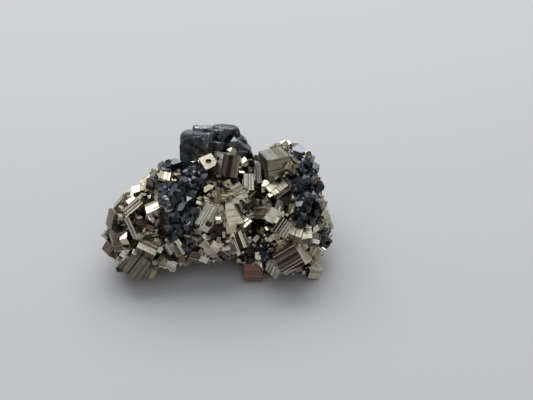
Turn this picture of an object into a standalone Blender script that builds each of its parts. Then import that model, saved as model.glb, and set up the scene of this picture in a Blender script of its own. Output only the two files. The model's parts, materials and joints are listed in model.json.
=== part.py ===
"""Pyrite with sphalerite: a loose mineral cluster, modelled at its real size.

Brassy pyrite cubes crowd over two lobes that meet in a dark gully. Black sphalerite has grown
in groups of its own between them: a tall crown at the back, a band down the left lobe, a
flank on the right, three small groups low down and two on the hidden side. Each mineral group
is one solid, because its crystals have grown through each other. The cluster stands on broken
feet at the left, the right and the back.

Frame: X to the right of the specimen's display side, Y away from it, Z up. The origin is the
middle of the footprint, on the surface that the cluster stands on. All sizes below are in
millimetres and become metres in one place, solid_mesh().
"""

import math
import random

import bmesh
import bpy
from mathutils import Euler, Matrix, Vector

MM = 0.001
CUBE_CORNER = math.sqrt(3)  # a cube's corner against its half edge
GAP = 0.3                  # air between two minerals, where one would grow round the other
SEED = 20

# The display side: the line of sight that the main crystals are set out along.
VIEW_PITCH = math.radians(42)
VIEW_MIDDLE = Vector((0, 0, 13))
VIEW_RIGHT = Vector((1, 0, 0))
VIEW_UP = Vector((0, math.sin(VIEW_PITCH), math.cos(VIEW_PITCH)))
VIEW_AWAY = Vector((0, math.cos(VIEW_PITCH), -math.sin(VIEW_PITCH)))
EYE_ACROSS, EYE_DISTANCE = 12.9, 300
EYE = VIEW_MIDDLE + VIEW_RIGHT * EYE_ACROSS - VIEW_AWAY * EYE_DISTANCE

# The layout's coordinates put the origin near the middle of the cluster. solid_mesh() moves
# the middle of the footprint to the origin.
FOOTPRINT_MIDDLE = Vector((0, -1.67, 0))

# The massive pyrite under the crystals: coarse lobes as (middle, half sizes).
LOBES = {
    "left_foot": ((-21.5, -9, 8.2), (6.5, 9, 9.5)),
    "left_body": ((-11.5, -4.5, 12), (11, 11, 10.5)),
    "left_hem": ((-13.5, -9.5, 8), (8, 7.5, 6.5)),
    "middle_hem": ((-1.5, -8.5, 8), (9.5, 7, 5.5)),
    "centre": ((0.5, -6.5, 14), (7.5, 9.5, 8.5)),
    "keel": ((3, 1, 8), (16, 12, 5.5)),
    "crown_seat": ((0, 5, 16), (10, 10, 8)),
    "right_shoulder": ((18, 3, 17.5), (7.5, 9.5, 8.5)),
    "right_body": ((20, -4, 12), (8, 9.5, 10)),
    "right_foot": ((19, -11, 6.8), (7.5, 7, 8)),
    "ember_foot": ((11, -10, 4.2), (6, 6, 5.5)),
    "bridge": ((8, 5, 12), (13, 8, 9)),
    "back_heel": ((1, 11, 6), (8.5, 7, 7.5)),
}

LOBE_SWELL = 1.1           # corners of the coarse lobes against the smooth half sizes above

# Main pyrite crystals, in millimetres and degrees.
# across and up: where the crystal shows from the display side, from VIEW_MIDDLE.
# size: width, depth and height.  turn: yaw, pitch and roll against the line of sight.
# sink: how far its middle lies behind the lobe's surface, as a share of its depth.
MAIN_PYRITE = [
    # name               across    up   size             turn            sink  form
    ("crest_cube",         15.2,   9.6, (6.4, 6.4, 6.2), (20, 27, -4),   0.05, "level"),
    ("crest_cap",          17.0,  13.4, (2.2, 2.2, 2.0), (30, 20, 20),   0.20, "level"),
    ("window_cube",         3.0,   9.4, (5.2, 5.0, 5.8), (26, 8, 10),   -0.40, "upright"),
    ("ring_crystal",       -2.4,   9.7, (3.8, 3.6, 3.8), (-8, 14, -24), -0.45, "level"),
    ("door_block",          8.0,   4.9, (2.7, 3.4, 4.3), (8, 4, 0),     -0.20, "upright"),
    ("slab_left",           9.9,   7.9, (1.2, 3.6, 5.0), (12, 6, 2),    -0.10, "upright"),
    ("slab_right",         11.3,   7.2, (1.3, 3.6, 5.0), (-14, 6, -3),  -0.10, "upright"),
    ("slant_cube",          4.9,   2.3, (3.4, 3.4, 4.2), (8, 12, -28),   0.05, "level"),
    ("bright_block",       16.2,   3.4, (4.6, 3.0, 3.0), (5, 48, -33),   0.00, "level"),
    ("kite_crystal",        4.0,  -3.6, (5.2, 5.4, 6.8), (6, 14, -8),    0.05, "pyritohedron"),
    ("step_crystal",       -3.1,  -3.1, (4.4, 4.6, 6.2), (24, 22, 30),   0.05, "upright"),
    ("step_side",          -5.2,  -4.4, (2.6, 3.0, 4.2), (40, 12, 18),   0.15, "upright"),
    ("ribbed_cube",         4.7, -10.7, (5.0, 5.0, 5.0), (12, 4, -20),   0.05, "upright"),
    ("diamond_cube",       -1.6, -13.0, (3.3, 3.3, 3.4), (6, 14, 40),    0.10, "level"),
    ("grey_plate",         -6.4,  -9.8, (5.2, 2.6, 3.0), (10, 48, 28),   0.10, "level"),
    ("foot_cube",         -19.0, -13.0, (5.2, 4.8, 4.6), (8, 52, 32),   -0.05, "upright"),
    ("toe_cube",          -21.8, -17.0, (6.6, 6.0, 6.0), (-4, 2, 38),    0.10, "upright"),
    ("toe_tip",           -18.5, -19.2, (3.2, 3.4, 3.0), (20, -6, 25),   0.10, "upright"),
    ("striped_bar",       -22.4,  -2.8, (5.8, 3.4, 3.0), (4, 46, -38),   0.05, "upright"),
    ("white_flake",       -17.0,  -1.6, (3.8, 3.0, 3.2), (-8, 54, -27), -0.10, "upright"),
    ("wave_crystal",      -22.1,   0.8, (5.0, 3.8, 2.6), (6, 46, -6),    0.15, "upright"),
    ("rise_slab",         -18.8,   4.9, (3.4, 2.8, 1.6), (6, 52, -30),   0.30, "upright"),
    ("rise_cube",         -16.8,   6.2, (3.0, 3.2, 3.0), (22, 24, 34),   0.20, "upright"),
    ("rim_plate",         -13.4,   5.4, (4.6, 2.8, 3.2), (10, 40, 20),   0.20, "level"),
    ("edge_upper",        -26.8,  -5.2, (4.4, 4.0, 4.6), (34, 18, 14),   0.20, "level"),
    ("edge_middle",       -26.2, -10.0, (4.6, 4.2, 4.4), (22, 24, -12),  0.15, "pyritohedron"),
    ("edge_lower",        -27.6, -12.8, (4.0, 4.2, 4.0), (44, 6, 30),    0.30, "level"),
    ("edge_blade",        -24.0,  -7.6, (1.6, 4.0, 5.6), (30, 8, -24),   0.00, "upright"),
    ("ember_left",        -20.6,  -6.4, (2.8, 2.6, 2.2), (12, 16, 8),    0.05, "level"),
    ("ember_right",       -18.0,  -7.0, (2.6, 2.4, 2.0), (-10, 30, 12),  0.05, "level"),
    ("shelf_plate",       -18.0,  -8.6, (3.4, 2.6, 2.0), (6, 52, -10),   0.00, "level"),
    ("low_prism",         -13.2, -12.6, (2.6, 2.8, 3.2), (28, 14, -30),  0.10, "upright"),
    ("low_blade",         -10.6, -12.0, (1.6, 3.0, 4.6), (18, 10, -38),  0.10, "upright"),
    ("low_block",         -12.8, -16.6, (3.2, 3.2, 2.8), (16, 20, 24),   0.20, "level"),
    ("hem_block",          -8.4, -15.4, (3.6, 3.0, 2.6), (34, 12, -22),  0.10, "level"),
    ("rust_block",          1.9, -14.4, (3.0, 2.4, 1.9), (-6, 10, 32),   0.05, "level"),
    ("stage_crystal",      15.0,  -3.7, (5.0, 4.4, 4.6), (14, 22, 22),   0.00, "pyritohedron"),
    ("stage_rib",          16.6,  -1.4, (1.8, 2.6, 3.2), (-12, 16, 10),  0.05, "upright"),
    ("zebra_cube",         17.7,  -7.5, (4.6, 4.2, 4.4), (-8, 12, 34),  -0.15, "upright"),
    ("fan_left",           20.4,  -8.2, (2.8, 3.0, 3.6), (20, 34, 24),  -0.10, "level"),
    ("fan_right",          23.0,  -8.9, (3.0, 3.0, 4.0), (-12, 30, 8),  -0.10, "upright"),
    ("giant_cube",         19.8, -15.3, (6.8, 6.4, 6.6), (-12, -4, -30), -0.15, "level"),
    ("giant_shoulder",     17.2, -10.9, (3.4, 3.0, 2.4), (10, 26, -24),  0.10, "level"),
    ("corner_block",       25.3, -18.8, (3.4, 3.2, 3.4), (26, 16, 18),   0.05, "level"),
    ("rim_upper",          26.6,  -1.6, (3.2, 3.4, 3.6), (-24, 14, 20),  0.60, "level"),
    ("rim_middle",         27.7,  -6.0, (3.8, 3.4, 4.2), (-34, 10, -10), 0.50, "upright"),
    ("rim_lower",          27.2,  -9.8, (4.8, 3.8, 3.8), (-18, 20, 26),  0.45, "level"),
    ("ember_cube",          9.2, -18.4, (5.0, 4.6, 4.6), (6, 16, 3),     0.10, "level"),
    ("sill_block",         13.4, -19.2, (3.2, 3.0, 2.8), (20, 18, 14),   0.10, "level"),
    ("dark_cube",           6.8,  -0.8, (3.0, 3.0, 2.8), (-22, 28, 26),  0.05, "upright"),
    ("grey_cube",           2.2,   1.2, (2.8, 2.8, 2.6), (6, 20, 4),     0.05, "level"),
    ("reed_block",         -0.4,   0.8, (2.0, 2.6, 3.6), (14, 12, -6),   0.05, "upright"),
    ("olive_cube",          8.6,  -4.2, (3.4, 3.2, 3.0), (10, 26, -16),  0.10, "pyritohedron"),
    ("tan_cube",            7.6,  -1.9, (2.0, 2.2, 2.4), (-20, 22, 30),  0.00, "level"),
    ("bright_kite",         0.5,  -3.2, (2.0, 2.4, 3.8), (18, 20, -16), -0.05, "level"),
    ("gully_cube",         10.4,  -6.6, (3.4, 3.4, 3.4), (30, 30, 10),   0.10, "level"),
]

# Cubes big enough for their growth ledges to show from a step away: name and ledges a face.
LEDGED = {
    "crest_cube": 2, "window_cube": 2, "giant_cube": 2, "foot_cube": 2, "toe_cube": 2,
    "ribbed_cube": 2, "zebra_cube": 2,
}
LEDGE_DEPTH = 0.30
LEDGE_SHIFT = 0.3          # how far a ledge's edge strays, by the ledges' spacing
LEDGE_RISER = 0.03         # half a riser's width, by the cube's half edge
PRISM_SPARE = 0.1          # what a ledged prism has past the cube at each end
PYRITOHEDRON_KEEP = 0.86   # where its faces cut, on the way to the cube's edges

# Smaller pyrite that fills in between: how many are tried on each lobe, and their edges.
FILLERS_TRIED = 12
FILLER_EDGE = (2.6, 4.8)
FLOOR_CLEAR = 2.0          # no filler is rooted lower than this
UNDERSIDE = -0.55          # nor on the part of a lobe that faces down more than this
BURIED = 0.97              # a place this deep in another lobe is inside the rock
CROWDED = (0.66, 0.4)      # the room that two crystals need: by their reach, and more
COVERED = 1.05             # how far from a lump's middle pyrite starts again

# The cluster's upper outline from the display side, as (across, up). No filler passes it.
SKYLINE = [(-32, -4), (-28, -1), (-25, 2.5), (-20, 4.5), (-14, 10), (-10, 13), (10, 10.5),
           (12, 13), (20, 14), (26, 9.5), (28, 0), (30, -6), (32, -12)]

# The crown's blocks, set out against the line of sight as the main crystals are.
CROWN = [
    # across, up, away      size             turn
    ((-5.6, 13.9, 1.0), (8.9, 8.6, 9.0), (0, 11, 0)),
    ((-4.0, 15.4, 4.6), (6.4, 6.0, 9.2), (8, 12, 2)),
    ((1.6, 14.9, 2.5), (6.4, 6.8, 10.6), (32, 16, 3)),
    ((3.9, 12.9, 2.2), (6.6, 7.0, 8.2), (20, 18, 42)),
    ((5.4, 11.5, 1.6), (5.6, 6.6, 7.0), (36, 16, 24)),
    ((6.4, 9.2, 2.0), (4.8, 5.6, 6.2), (10, 24, 12)),
    ((-0.6, 12.2, -1.2), (4.6, 5.0, 7.0), (-24, 8, 10)),
    ((1.0, 9.2, 7.0), (11.0, 8.0, 9.0), (12, -6, 8)),
]

# Lower sphalerite groups: the lumps that each stands on, as (across, up, radius), then the
# edges of the crystals on them and how many directions round a lump are tried.
GROUPS = {
    "sphalerite_band": ([
        (-13.2, 7.6, 2.6), (-11.2, 7.0, 2.8), (-8.0, 6.2, 3.2), (-4.8, 6.2, 2.8),
        (-14.2, 3.6, 3.0), (-11.2, 2.8, 3.4), (-7.5, 2.6, 3.4), (-4.4, 3.0, 2.6),
        (-13.0, -0.9, 3.0), (-9.3, -1.2, 3.4), (-12.3, -4.4, 3.0), (-8.5, -4.6, 2.8),
        (-12.0, -7.4, 2.6),
    ], (2.6, 4.0), 4),
    "sphalerite_flank": ([
        (20.4, 11.8, 2.2), (22.2, 8.8, 3.0), (23.8, 6.8, 2.6), (23.0, 4.4, 3.4),
        (20.6, 3.0, 2.8), (24.2, 1.5, 3.0), (22.4, -1.2, 3.2), (24.2, -3.2, 2.8),
        (21.4, -3.8, 2.4),
    ], (2.8, 4.2), 4),
    "sphalerite_low_right": ([(26.6, -9.8, 2.6)], (2.2, 3.2), 7),
    "sphalerite_gully": ([(12.4, -13.6, 2.8)], (2.2, 3.2), 7),
    "sphalerite_speck": ([(-8.2, -11.4, 1.6)], (1.6, 2.4), 5),
}
LUMP_SINK = 0.55           # how far a lump's middle lies behind the surface, by its radius
OPEN_SIDE = 0.1            # a lump's crystals stand where it faces outward more than this
CRYSTAL_SINK = 0.2         # and this share of their size lies in the lump

# Two groups on the hidden side, placed by where their lumps stand.
BACK_GROUPS = {
    "sphalerite_back_left": ([(-14.2, 5.4, 12.8, 3.4), (-11.0, 6.8, 9.6, 3.0)], (2.6, 3.8), 6),
    "sphalerite_back_right": ([(20.0, 9.6, 11.6, 3.4), (16.6, 10.6, 14.6, 3.0)], (2.6, 3.8), 6),
}

# Where the faces across a cube's corners lie, by the crystal's size: large and small ones.
TETRAHEDRAL = ((0.30, 0.38), (0.42, 0.52))
BLOCKY = ((0.70, 0.78), (0.84, 0.92))

GOLDEN_ANGLE = math.pi * (3 - math.sqrt(5))
FLOOR_BLOCK = 100          # edge of the block that cuts the cluster level

CORNERS = [Vector((x, y, z)) for x in (-1, 1) for y in (-1, 1) for z in (-1, 1)]

PYRITE_COLOUR = (0.56, 0.50, 0.36, 1)
SPHALERITE_COLOUR = (0.018, 0.018, 0.024, 1)


def cube_faces(size):
    """The six faces of a cube or block, as (outward normal, distance)."""
    width, depth, height = size
    return [(Vector((s, 0, 0)), width / 2) for s in (-1, 1)] + \
           [(Vector((0, s, 0)), depth / 2) for s in (-1, 1)] + \
           [(Vector((0, 0, s)), height / 2) for s in (-1, 1)]


def pyritohedron_faces(size, keep):
    """The twelve slanted faces of a pyritohedron, at keep of the way to the cube's edges."""
    faces = []
    for a in range(3):
        b = (a + 1) % 3
        for sign_a in (-1, 1):
            for sign_b in (-1, 1):
                normal = Vector((0, 0, 0))
                normal[a], normal[b] = 2 * sign_a, sign_b
                reach = (2 * size[a] + size[b]) / 2 / normal.length
                faces.append((normal.normalized(), reach * keep))
    return faces


def tetrahedral_faces(size, rng):
    """A small sphalerite crystal: four large faces and four small ones between them."""
    faces = []
    for corner in CORNERS:
        large = corner.x * corner.y * corner.z > 0
        share = rng.uniform(*TETRAHEDRAL[0 if large else 1])
        faces.append((corner.normalized(), size * share))
    return faces


def blocky_faces(size, rng):
    """A large sphalerite crystal: a block whose corners are cut by tetrahedral faces."""
    faces = cube_faces(size)
    for corner in CORNERS:
        large = corner.x * corner.y * corner.z > 0
        share = rng.uniform(*BLOCKY[0 if large else 1])
        faces.append((corner.normalized(), share * sum(size) / 2 / CUBE_CORNER))
    return faces


class Crystal:
    """A convex crystal: flat faces at given distances round its middle."""

    def __init__(self, middle, turn, faces, size, name="", form="block"):
        self.middle, self.turn, self.faces = middle, turn, faces
        self.size, self.name, self.form = size, name, form

    @property
    def reach(self):
        return max(self.size) / 2

    def mesh(self, grow=0.0):
        shape = bmesh.new()
        if len(self.faces) == 6:
            bmesh.ops.create_cube(shape, size=1)
            shape.transform(Matrix.Diagonal([s + 2 * grow for s in self.size]).to_4x4())
        else:
            bmesh.ops.create_cube(shape, size=4 * self.reach)
            for normal, distance in self.faces:
                cut_away(shape, normal, distance + grow)
        return solid_mesh(shape, self.middle, self.turn)


class Lump:
    """A lump of massive mineral, coarsely faceted like broken rock."""

    def __init__(self, middle, half_sizes):
        self.middle, self.half_sizes = middle, half_sizes
        self.reach = max(half_sizes)

    def mesh(self, grow=0.0):
        shape = bmesh.new()
        bmesh.ops.create_icosphere(shape, subdivisions=1, radius=1)
        shape.transform(Matrix.Diagonal([h + grow for h in self.half_sizes]).to_4x4())
        return solid_mesh(shape, self.middle, Matrix.Identity(3))


def cut_away(shape, normal, distance):
    """Cuts off what lies beyond one face and closes the cut."""
    cut = bmesh.ops.bisect_plane(
        shape, geom=shape.verts[:] + shape.edges[:] + shape.faces[:],
        plane_co=normal * distance, plane_no=normal, clear_outer=True)
    edges = [e for e in cut["geom_cut"] if isinstance(e, bmesh.types.BMEdge)]
    if edges:
        bmesh.ops.contextual_create(shape, geom=edges)


def solid_mesh(shape, middle, turn):
    """Turns a shape, puts it in place in the object's frame and writes it in metres."""
    shape.transform(Matrix.Translation(middle - FOOTPRINT_MIDDLE) @ turn.to_4x4())
    shape.transform(Matrix.Scale(MM, 4))
    bmesh.ops.recalc_face_normals(shape, faces=shape.faces[:])
    if shape.calc_volume(signed=True) < 0:
        bmesh.ops.reverse_faces(shape, faces=shape.faces[:])
    mesh = bpy.data.meshes.new("solid")
    shape.to_mesh(mesh)
    shape.free()
    return mesh


def stepped(half, breaks, rng):
    """A face's height along one line: level ledges of random depth with slanted risers."""
    spacing = 2 / (breaks + 1)
    shifts = [rng.uniform(-LEDGE_SHIFT, LEDGE_SHIFT) for _ in range(breaks)]
    edges = [(-1 + spacing * (i + 1 + shift)) * half for i, shift in enumerate(shifts)]
    riser, reach = LEDGE_RISER * half, (1 + PRISM_SPARE) * half
    heights = [rng.uniform(0, LEDGE_DEPTH) for _ in range(breaks + 1)]
    points = [(-reach, heights[0])]
    for place, before, after in zip(edges, heights, heights[1:]):
        points += [(place - riser, before), (place + riser, after)]
    return points + [(reach, heights[-1])]


def ledged_prism(size, normal_axis, across_axis, ledges, rng):
    """A long prism whose two faces along normal_axis are stepped along across_axis."""
    along_axis = 3 - normal_axis - across_axis
    half, half_across = size[normal_axis] / 2, size[across_axis] / 2
    upper = [(t, half - h) for t, h in stepped(half_across, ledges, rng)]
    lower = [(t, h - half) for t, h in stepped(half_across, ledges, rng)]
    shape = bmesh.new()
    outline = []
    for t, h in upper + lower[::-1]:
        point = Vector((0, 0, 0))
        point[across_axis], point[normal_axis] = t, h
        point[along_axis] = -(0.5 + PRISM_SPARE) * size[along_axis]
        outline.append(shape.verts.new(point))
    face = shape.faces.new(outline)
    grown = bmesh.ops.extrude_face_region(shape, geom=[face])
    push = Vector((0, 0, 0))
    push[along_axis] = (1 + 2 * PRISM_SPARE) * size[along_axis]
    moved = [v for v in grown["geom"] if isinstance(v, bmesh.types.BMVert)]
    bmesh.ops.translate(shape, verts=moved, vec=push)
    return shape


def ledged_mesh(crystal, ledges, rng):
    """A cube whose faces carry growth ledges, each pair of faces lined its own way."""
    order = 1 if crystal.form == "level" else 2
    prisms = [ledged_prism(crystal.size, axis, (axis + order) % 3, ledges, rng)
              for axis in range(3)]
    meshes = [solid_mesh(p, crystal.middle, crystal.turn) for p in prisms]
    return combine(combine(meshes[0], [meshes[1]], "INTERSECT"), [meshes[2]], "INTERSECT")


def combine(first, others, operation):
    """One mesh from a Boolean of first with the other meshes."""
    holder = bpy.data.collections.new("operands")
    for mesh in others:
        holder.objects.link(bpy.data.objects.new("operand", mesh))
    bpy.context.scene.collection.children.link(holder)
    obj = bpy.data.objects.new("base", first)
    bpy.context.scene.collection.objects.link(obj)
    modifier = obj.modifiers.new("Boolean", "BOOLEAN")
    modifier.operation = operation
    modifier.solver = "EXACT"
    modifier.operand_type = "COLLECTION"
    modifier.collection = holder
    graph = bpy.context.evaluated_depsgraph_get()
    made = bpy.data.meshes.new_from_object(obj.evaluated_get(graph))
    for helper in list(holder.objects) + [obj]:
        bpy.data.objects.remove(helper)
    bpy.data.collections.remove(holder)
    return made


def in_view(turn):
    """A turn given as yaw, pitch and roll against the line of sight, as a matrix."""
    yaw, pitch, roll = (math.radians(a) for a in turn)
    facing = Matrix((VIEW_RIGHT, VIEW_AWAY, VIEW_UP)).transposed()
    return (facing @ Matrix.Rotation(roll, 3, "Y") @ Matrix.Rotation(pitch, 3, "X")
            @ Matrix.Rotation(yaw, 3, "Z"))


def random_turn(rng):
    return Euler([rng.uniform(0, 2 * math.pi) for _ in range(3)]).to_matrix()


def depth_in(point, lobe):
    """Below 1 inside the lobe, 1 on its surface, more outside."""
    middle, half = lobe
    return math.sqrt(sum(((p - m) / h) ** 2 for p, m, h in zip(point, middle, half)))


def meet_lobes(across, up):
    """Where the line of sight through a place in the display view first meets a lobe."""
    through = VIEW_MIDDLE + VIEW_RIGHT * across + VIEW_UP * up
    sight = (through - EYE).normalized()
    met, passed = [], []
    for middle, half in LOBES.values():
        start = Vector([(e - m) / h for e, m, h in zip(EYE, middle, half)])
        way = Vector([s / h for s, h in zip(sight, half)])
        a, b, c = way.dot(way), start.dot(way), start.dot(start) - 1
        passed.append((c - b * b / a, -b / a))
        if b * b > a * c:
            met.append((-b - math.sqrt(b * b - a * c)) / a)
    # A place past the outline is level with the lobe that the line passes closest to.
    reach = min(met) if met else min(passed)[1]
    return EYE + sight * reach, sight


def main_crystals():
    found = []
    for name, across, up, size, turn, sink, form in MAIN_PYRITE:
        surface, sight = meet_lobes(across, up)
        faces = cube_faces(size)
        if form == "pyritohedron":
            faces += pyritohedron_faces(size, PYRITOHEDRON_KEEP)
        found.append(Crystal(surface + sight * sink * size[1], in_view(turn), faces, size,
                             name, form))
    return found


def spiral(count):
    """Directions spread evenly over a sphere."""
    for i in range(count):
        z = 1 - (2 * i + 1) / count
        angle, ring = i * GOLDEN_ANGLE, math.sqrt(1 - z * z)
        yield Vector((ring * math.cos(angle), ring * math.sin(angle), z))


def past_outline(place, reach):
    """Whether something at a place would show past the cluster's upper outline."""
    across, up = place.x, (place - VIEW_MIDDLE).dot(VIEW_UP)
    for (x0, up0), (x1, up1) in zip(SKYLINE, SKYLINE[1:]):
        if x0 <= across <= x1:
            share = (across - x0) / (x1 - x0)
            return up + reach > up0 + (up1 - up0) * share
    return True


def filler_crystals(taken, minerals, rng):
    """Smaller cubes wherever a lobe's surface is still bare."""
    found = []
    by_reach, more = CROWDED
    for name, (middle, half) in LOBES.items():
        for direction in spiral(FILLERS_TRIED):
            place = Vector([m + h * d for m, h, d in zip(middle, half, direction)])
            edge = rng.uniform(*FILLER_EDGE)
            size = tuple(edge * rng.uniform(0.8, 1.1) for _ in range(3))
            turn = random_turn(rng)
            buried = any(depth_in(place, lobe) < BURIED
                         for other, lobe in LOBES.items() if other != name)
            crowded = any((place - c.middle).length < by_reach * (c.reach + edge / 2) + more
                          for c in taken + found)
            covered = any((place - m.middle).length < COVERED * m.reach for m in minerals)
            low = place.z < FLOOR_CLEAR or direction.z < UNDERSIDE
            outside = past_outline(place, edge / 2)
            if buried or crowded or covered or low or outside:
                continue
            found.append(Crystal(place, turn, cube_faces(size), size, "filler", "block"))
    return found


def outward(place):
    """Away from the massive pyrite at a place near its surface."""
    middle, half = min(LOBES.values(), key=lambda lobe: depth_in(place, lobe))
    return Vector([(p - m) / h ** 2 for p, m, h in zip(place, middle, half)]).normalized()


def crystals_round(lump, edges, count, rng):
    """Sphalerite crystals standing on the open side of a lump."""
    found = []
    away = outward(lump.middle)
    for direction in spiral(count):
        size = rng.uniform(*edges)
        if direction.dot(away) < OPEN_SIDE:
            continue
        place = lump.middle + direction * (lump.reach - CRYSTAL_SINK * size)
        found.append(Crystal(place, random_turn(rng), tetrahedral_faces(size, rng),
                             (size,) * 3))
    return found


def sphalerite_groups(rng):
    """Every sphalerite group as {name: its lumps and crystals}."""
    groups = {"sphalerite_crown": []}
    for (across, up, away), size, turn in CROWN:
        middle = VIEW_MIDDLE + VIEW_RIGHT * across + VIEW_UP * up + VIEW_AWAY * away
        groups["sphalerite_crown"].append(
            Crystal(middle, in_view(turn), blocky_faces(size, rng), size))
    for name, (lumps, edges, count) in GROUPS.items():
        groups[name] = []
        for across, up, radius in lumps:
            surface, sight = meet_lobes(across, up)
            lump = Lump(surface + sight * radius * LUMP_SINK, (radius,) * 3)
            groups[name] += [lump] + crystals_round(lump, edges, count, rng)
    for name, (lumps, edges, count) in BACK_GROUPS.items():
        groups[name] = []
        for x, y, z, radius in lumps:
            lump = Lump(Vector((x, y, z)), (radius,) * 3)
            groups[name] += [lump] + crystals_round(lump, edges, count, rng)
    return groups


def largest_body(mesh):
    """Keeps the largest connected body of a mesh and drops chips that a cut left loose."""
    shape = bmesh.new()
    shape.from_mesh(mesh)
    unseen, bodies = set(shape.verts), []
    while unseen:
        body, edge = set(), [unseen.pop()]
        while edge:
            vert = edge.pop()
            body.add(vert)
            near = {e.other_vert(vert) for e in vert.link_edges} & unseen
            unseen -= near
            edge += near
        bodies.append(body)
    keep = max(bodies, key=len)
    loose = [v for v in shape.verts if v not in keep]
    bmesh.ops.delete(shape, geom=loose, context="VERTS")
    shape.to_mesh(mesh)
    shape.free()


def floor_cutter():
    shape = bmesh.new()
    bmesh.ops.create_cube(shape, size=FLOOR_BLOCK)
    return solid_mesh(shape, Vector((0, 0, -FLOOR_BLOCK / 2)), Matrix.Identity(3))


def material(name, colour, metallic, roughness):
    made = bpy.data.materials.new(name)
    made.use_nodes = True
    shader = made.node_tree.nodes["Principled BSDF"]
    shader.inputs["Base Color"].default_value = colour
    shader.inputs["Metallic"].default_value = metallic
    shader.inputs["Roughness"].default_value = roughness
    return made


def add_node(name, mesh, finish, collection):
    largest_body(mesh)
    mesh.name = name
    mesh.materials.clear()
    mesh.materials.append(finish)
    collection.objects.link(bpy.data.objects.new(name, mesh))


def main():
    for obj in list(bpy.data.objects):
        bpy.data.objects.remove(obj)
    rng = random.Random(SEED)
    collection = bpy.data.collections.new("Pyrite with sphalerite")
    bpy.context.scene.collection.children.link(collection)

    mains = main_crystals()
    groups = sphalerite_groups(rng)
    minerals = [m for members in groups.values() for m in members]
    proud = [c for c in mains if any(
        (c.middle - m.middle).length < (c.reach + m.reach) * CUBE_CORNER for m in minerals)]
    fillers = filler_crystals(mains, minerals, rng)
    floor = floor_cutter()

    massive = [Lump(Vector(middle), [h * LOBE_SWELL for h in half]).mesh()
               for middle, half in LOBES.values()]
    massive += [c.mesh() for c in fillers]
    socketed = combine(combine(massive[0], massive[1:], "UNION"),
                       [m.mesh(GAP) for m in minerals], "DIFFERENCE")
    crystals = [ledged_mesh(c, LEDGED[c.name], rng) if c.name in LEDGED else c.mesh()
                for c in mains]
    pyrite = combine(combine(socketed, crystals, "UNION"), [floor], "DIFFERENCE")
    add_node("pyrite", pyrite, material("pyrite", PYRITE_COLOUR, 1.0, 0.28), collection)

    black = material("sphalerite", SPHALERITE_COLOUR, 0.0, 0.2)
    crown = groups["sphalerite_crown"]
    for name, members in groups.items():
        whole = combine(members[0].mesh(), [m.mesh() for m in members[1:]], "UNION")
        in_the_way = proud if members is crown else proud + crown
        rid = combine(whole, [c.mesh(GAP) for c in in_the_way] + [floor], "DIFFERENCE")
        add_node(name, rid, black, collection)


main()
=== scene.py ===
"""Looks for a pyrite and sphalerite crystal cluster: fine crystals, materials, floor and light.

The layout is the part's own, drawn from the same seed, so each piece stands where its solid is.
Ten main crystals and one block of the crown are shifted, resized or turned a little against the
part, for their light. This script cuts growth lines into every larger pyrite cube, adds the small
crystals, and unites each group. Lengths are in millimetres until place_piece() makes them metres.
"""

import json
import math
import random

import bmesh
import bpy
from mathutils import Euler, Matrix, Vector, noise

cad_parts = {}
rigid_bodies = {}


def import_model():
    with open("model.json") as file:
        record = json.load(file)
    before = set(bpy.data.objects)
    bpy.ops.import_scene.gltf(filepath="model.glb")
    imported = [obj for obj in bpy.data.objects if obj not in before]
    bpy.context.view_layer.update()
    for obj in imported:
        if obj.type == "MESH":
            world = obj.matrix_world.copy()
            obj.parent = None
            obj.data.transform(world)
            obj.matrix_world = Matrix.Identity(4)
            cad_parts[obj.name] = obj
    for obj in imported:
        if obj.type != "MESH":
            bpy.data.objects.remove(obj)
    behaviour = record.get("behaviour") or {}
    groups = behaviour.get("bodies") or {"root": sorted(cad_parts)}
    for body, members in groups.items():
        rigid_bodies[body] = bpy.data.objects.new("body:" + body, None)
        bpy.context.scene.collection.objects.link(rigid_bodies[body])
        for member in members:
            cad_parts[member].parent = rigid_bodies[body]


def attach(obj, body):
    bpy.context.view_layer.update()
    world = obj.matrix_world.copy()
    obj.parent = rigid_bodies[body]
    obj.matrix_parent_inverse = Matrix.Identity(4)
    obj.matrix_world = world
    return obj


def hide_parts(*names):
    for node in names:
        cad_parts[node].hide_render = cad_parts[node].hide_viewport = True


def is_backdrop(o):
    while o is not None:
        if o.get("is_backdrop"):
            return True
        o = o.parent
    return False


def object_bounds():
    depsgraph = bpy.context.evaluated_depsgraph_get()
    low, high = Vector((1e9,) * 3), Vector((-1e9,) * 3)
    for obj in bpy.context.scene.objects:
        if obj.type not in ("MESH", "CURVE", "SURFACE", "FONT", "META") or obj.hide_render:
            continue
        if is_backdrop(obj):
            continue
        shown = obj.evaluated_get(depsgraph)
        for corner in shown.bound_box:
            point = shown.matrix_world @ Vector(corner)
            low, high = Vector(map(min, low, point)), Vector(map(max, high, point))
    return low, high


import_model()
CAD_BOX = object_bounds()

MM = 0.001
SEED = 20
GAP_TO_BOX = 0.15          # small crystals stay this far inside the part's own box
UV_SPREAD = 900            # each crystal's growth lines start somewhere in this range

# The display side: the line of sight that the main crystals are set out along.
VIEW_PITCH = math.radians(42)
VIEW_MIDDLE = Vector((0, 0, 13))
VIEW_RIGHT = Vector((1, 0, 0))
VIEW_UP = Vector((0, math.sin(VIEW_PITCH), math.cos(VIEW_PITCH)))
VIEW_AWAY = Vector((0, math.cos(VIEW_PITCH), -math.sin(VIEW_PITCH)))
EYE_ACROSS = 12.9
EYE_DISTANCE = 300
EYE = VIEW_MIDDLE + VIEW_RIGHT * EYE_ACROSS - VIEW_AWAY * EYE_DISTANCE
IMAGE_WIDTH = 533
PIXELS_PER_MM = 3.75       # at VIEW_MIDDLE
SENSOR = 36

# The layout's coordinates put the origin near the middle of the cluster. place_piece() moves
# the middle of the footprint to the origin.
FOOTPRINT_MIDDLE = Vector((0, -1.67, 0))

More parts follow.
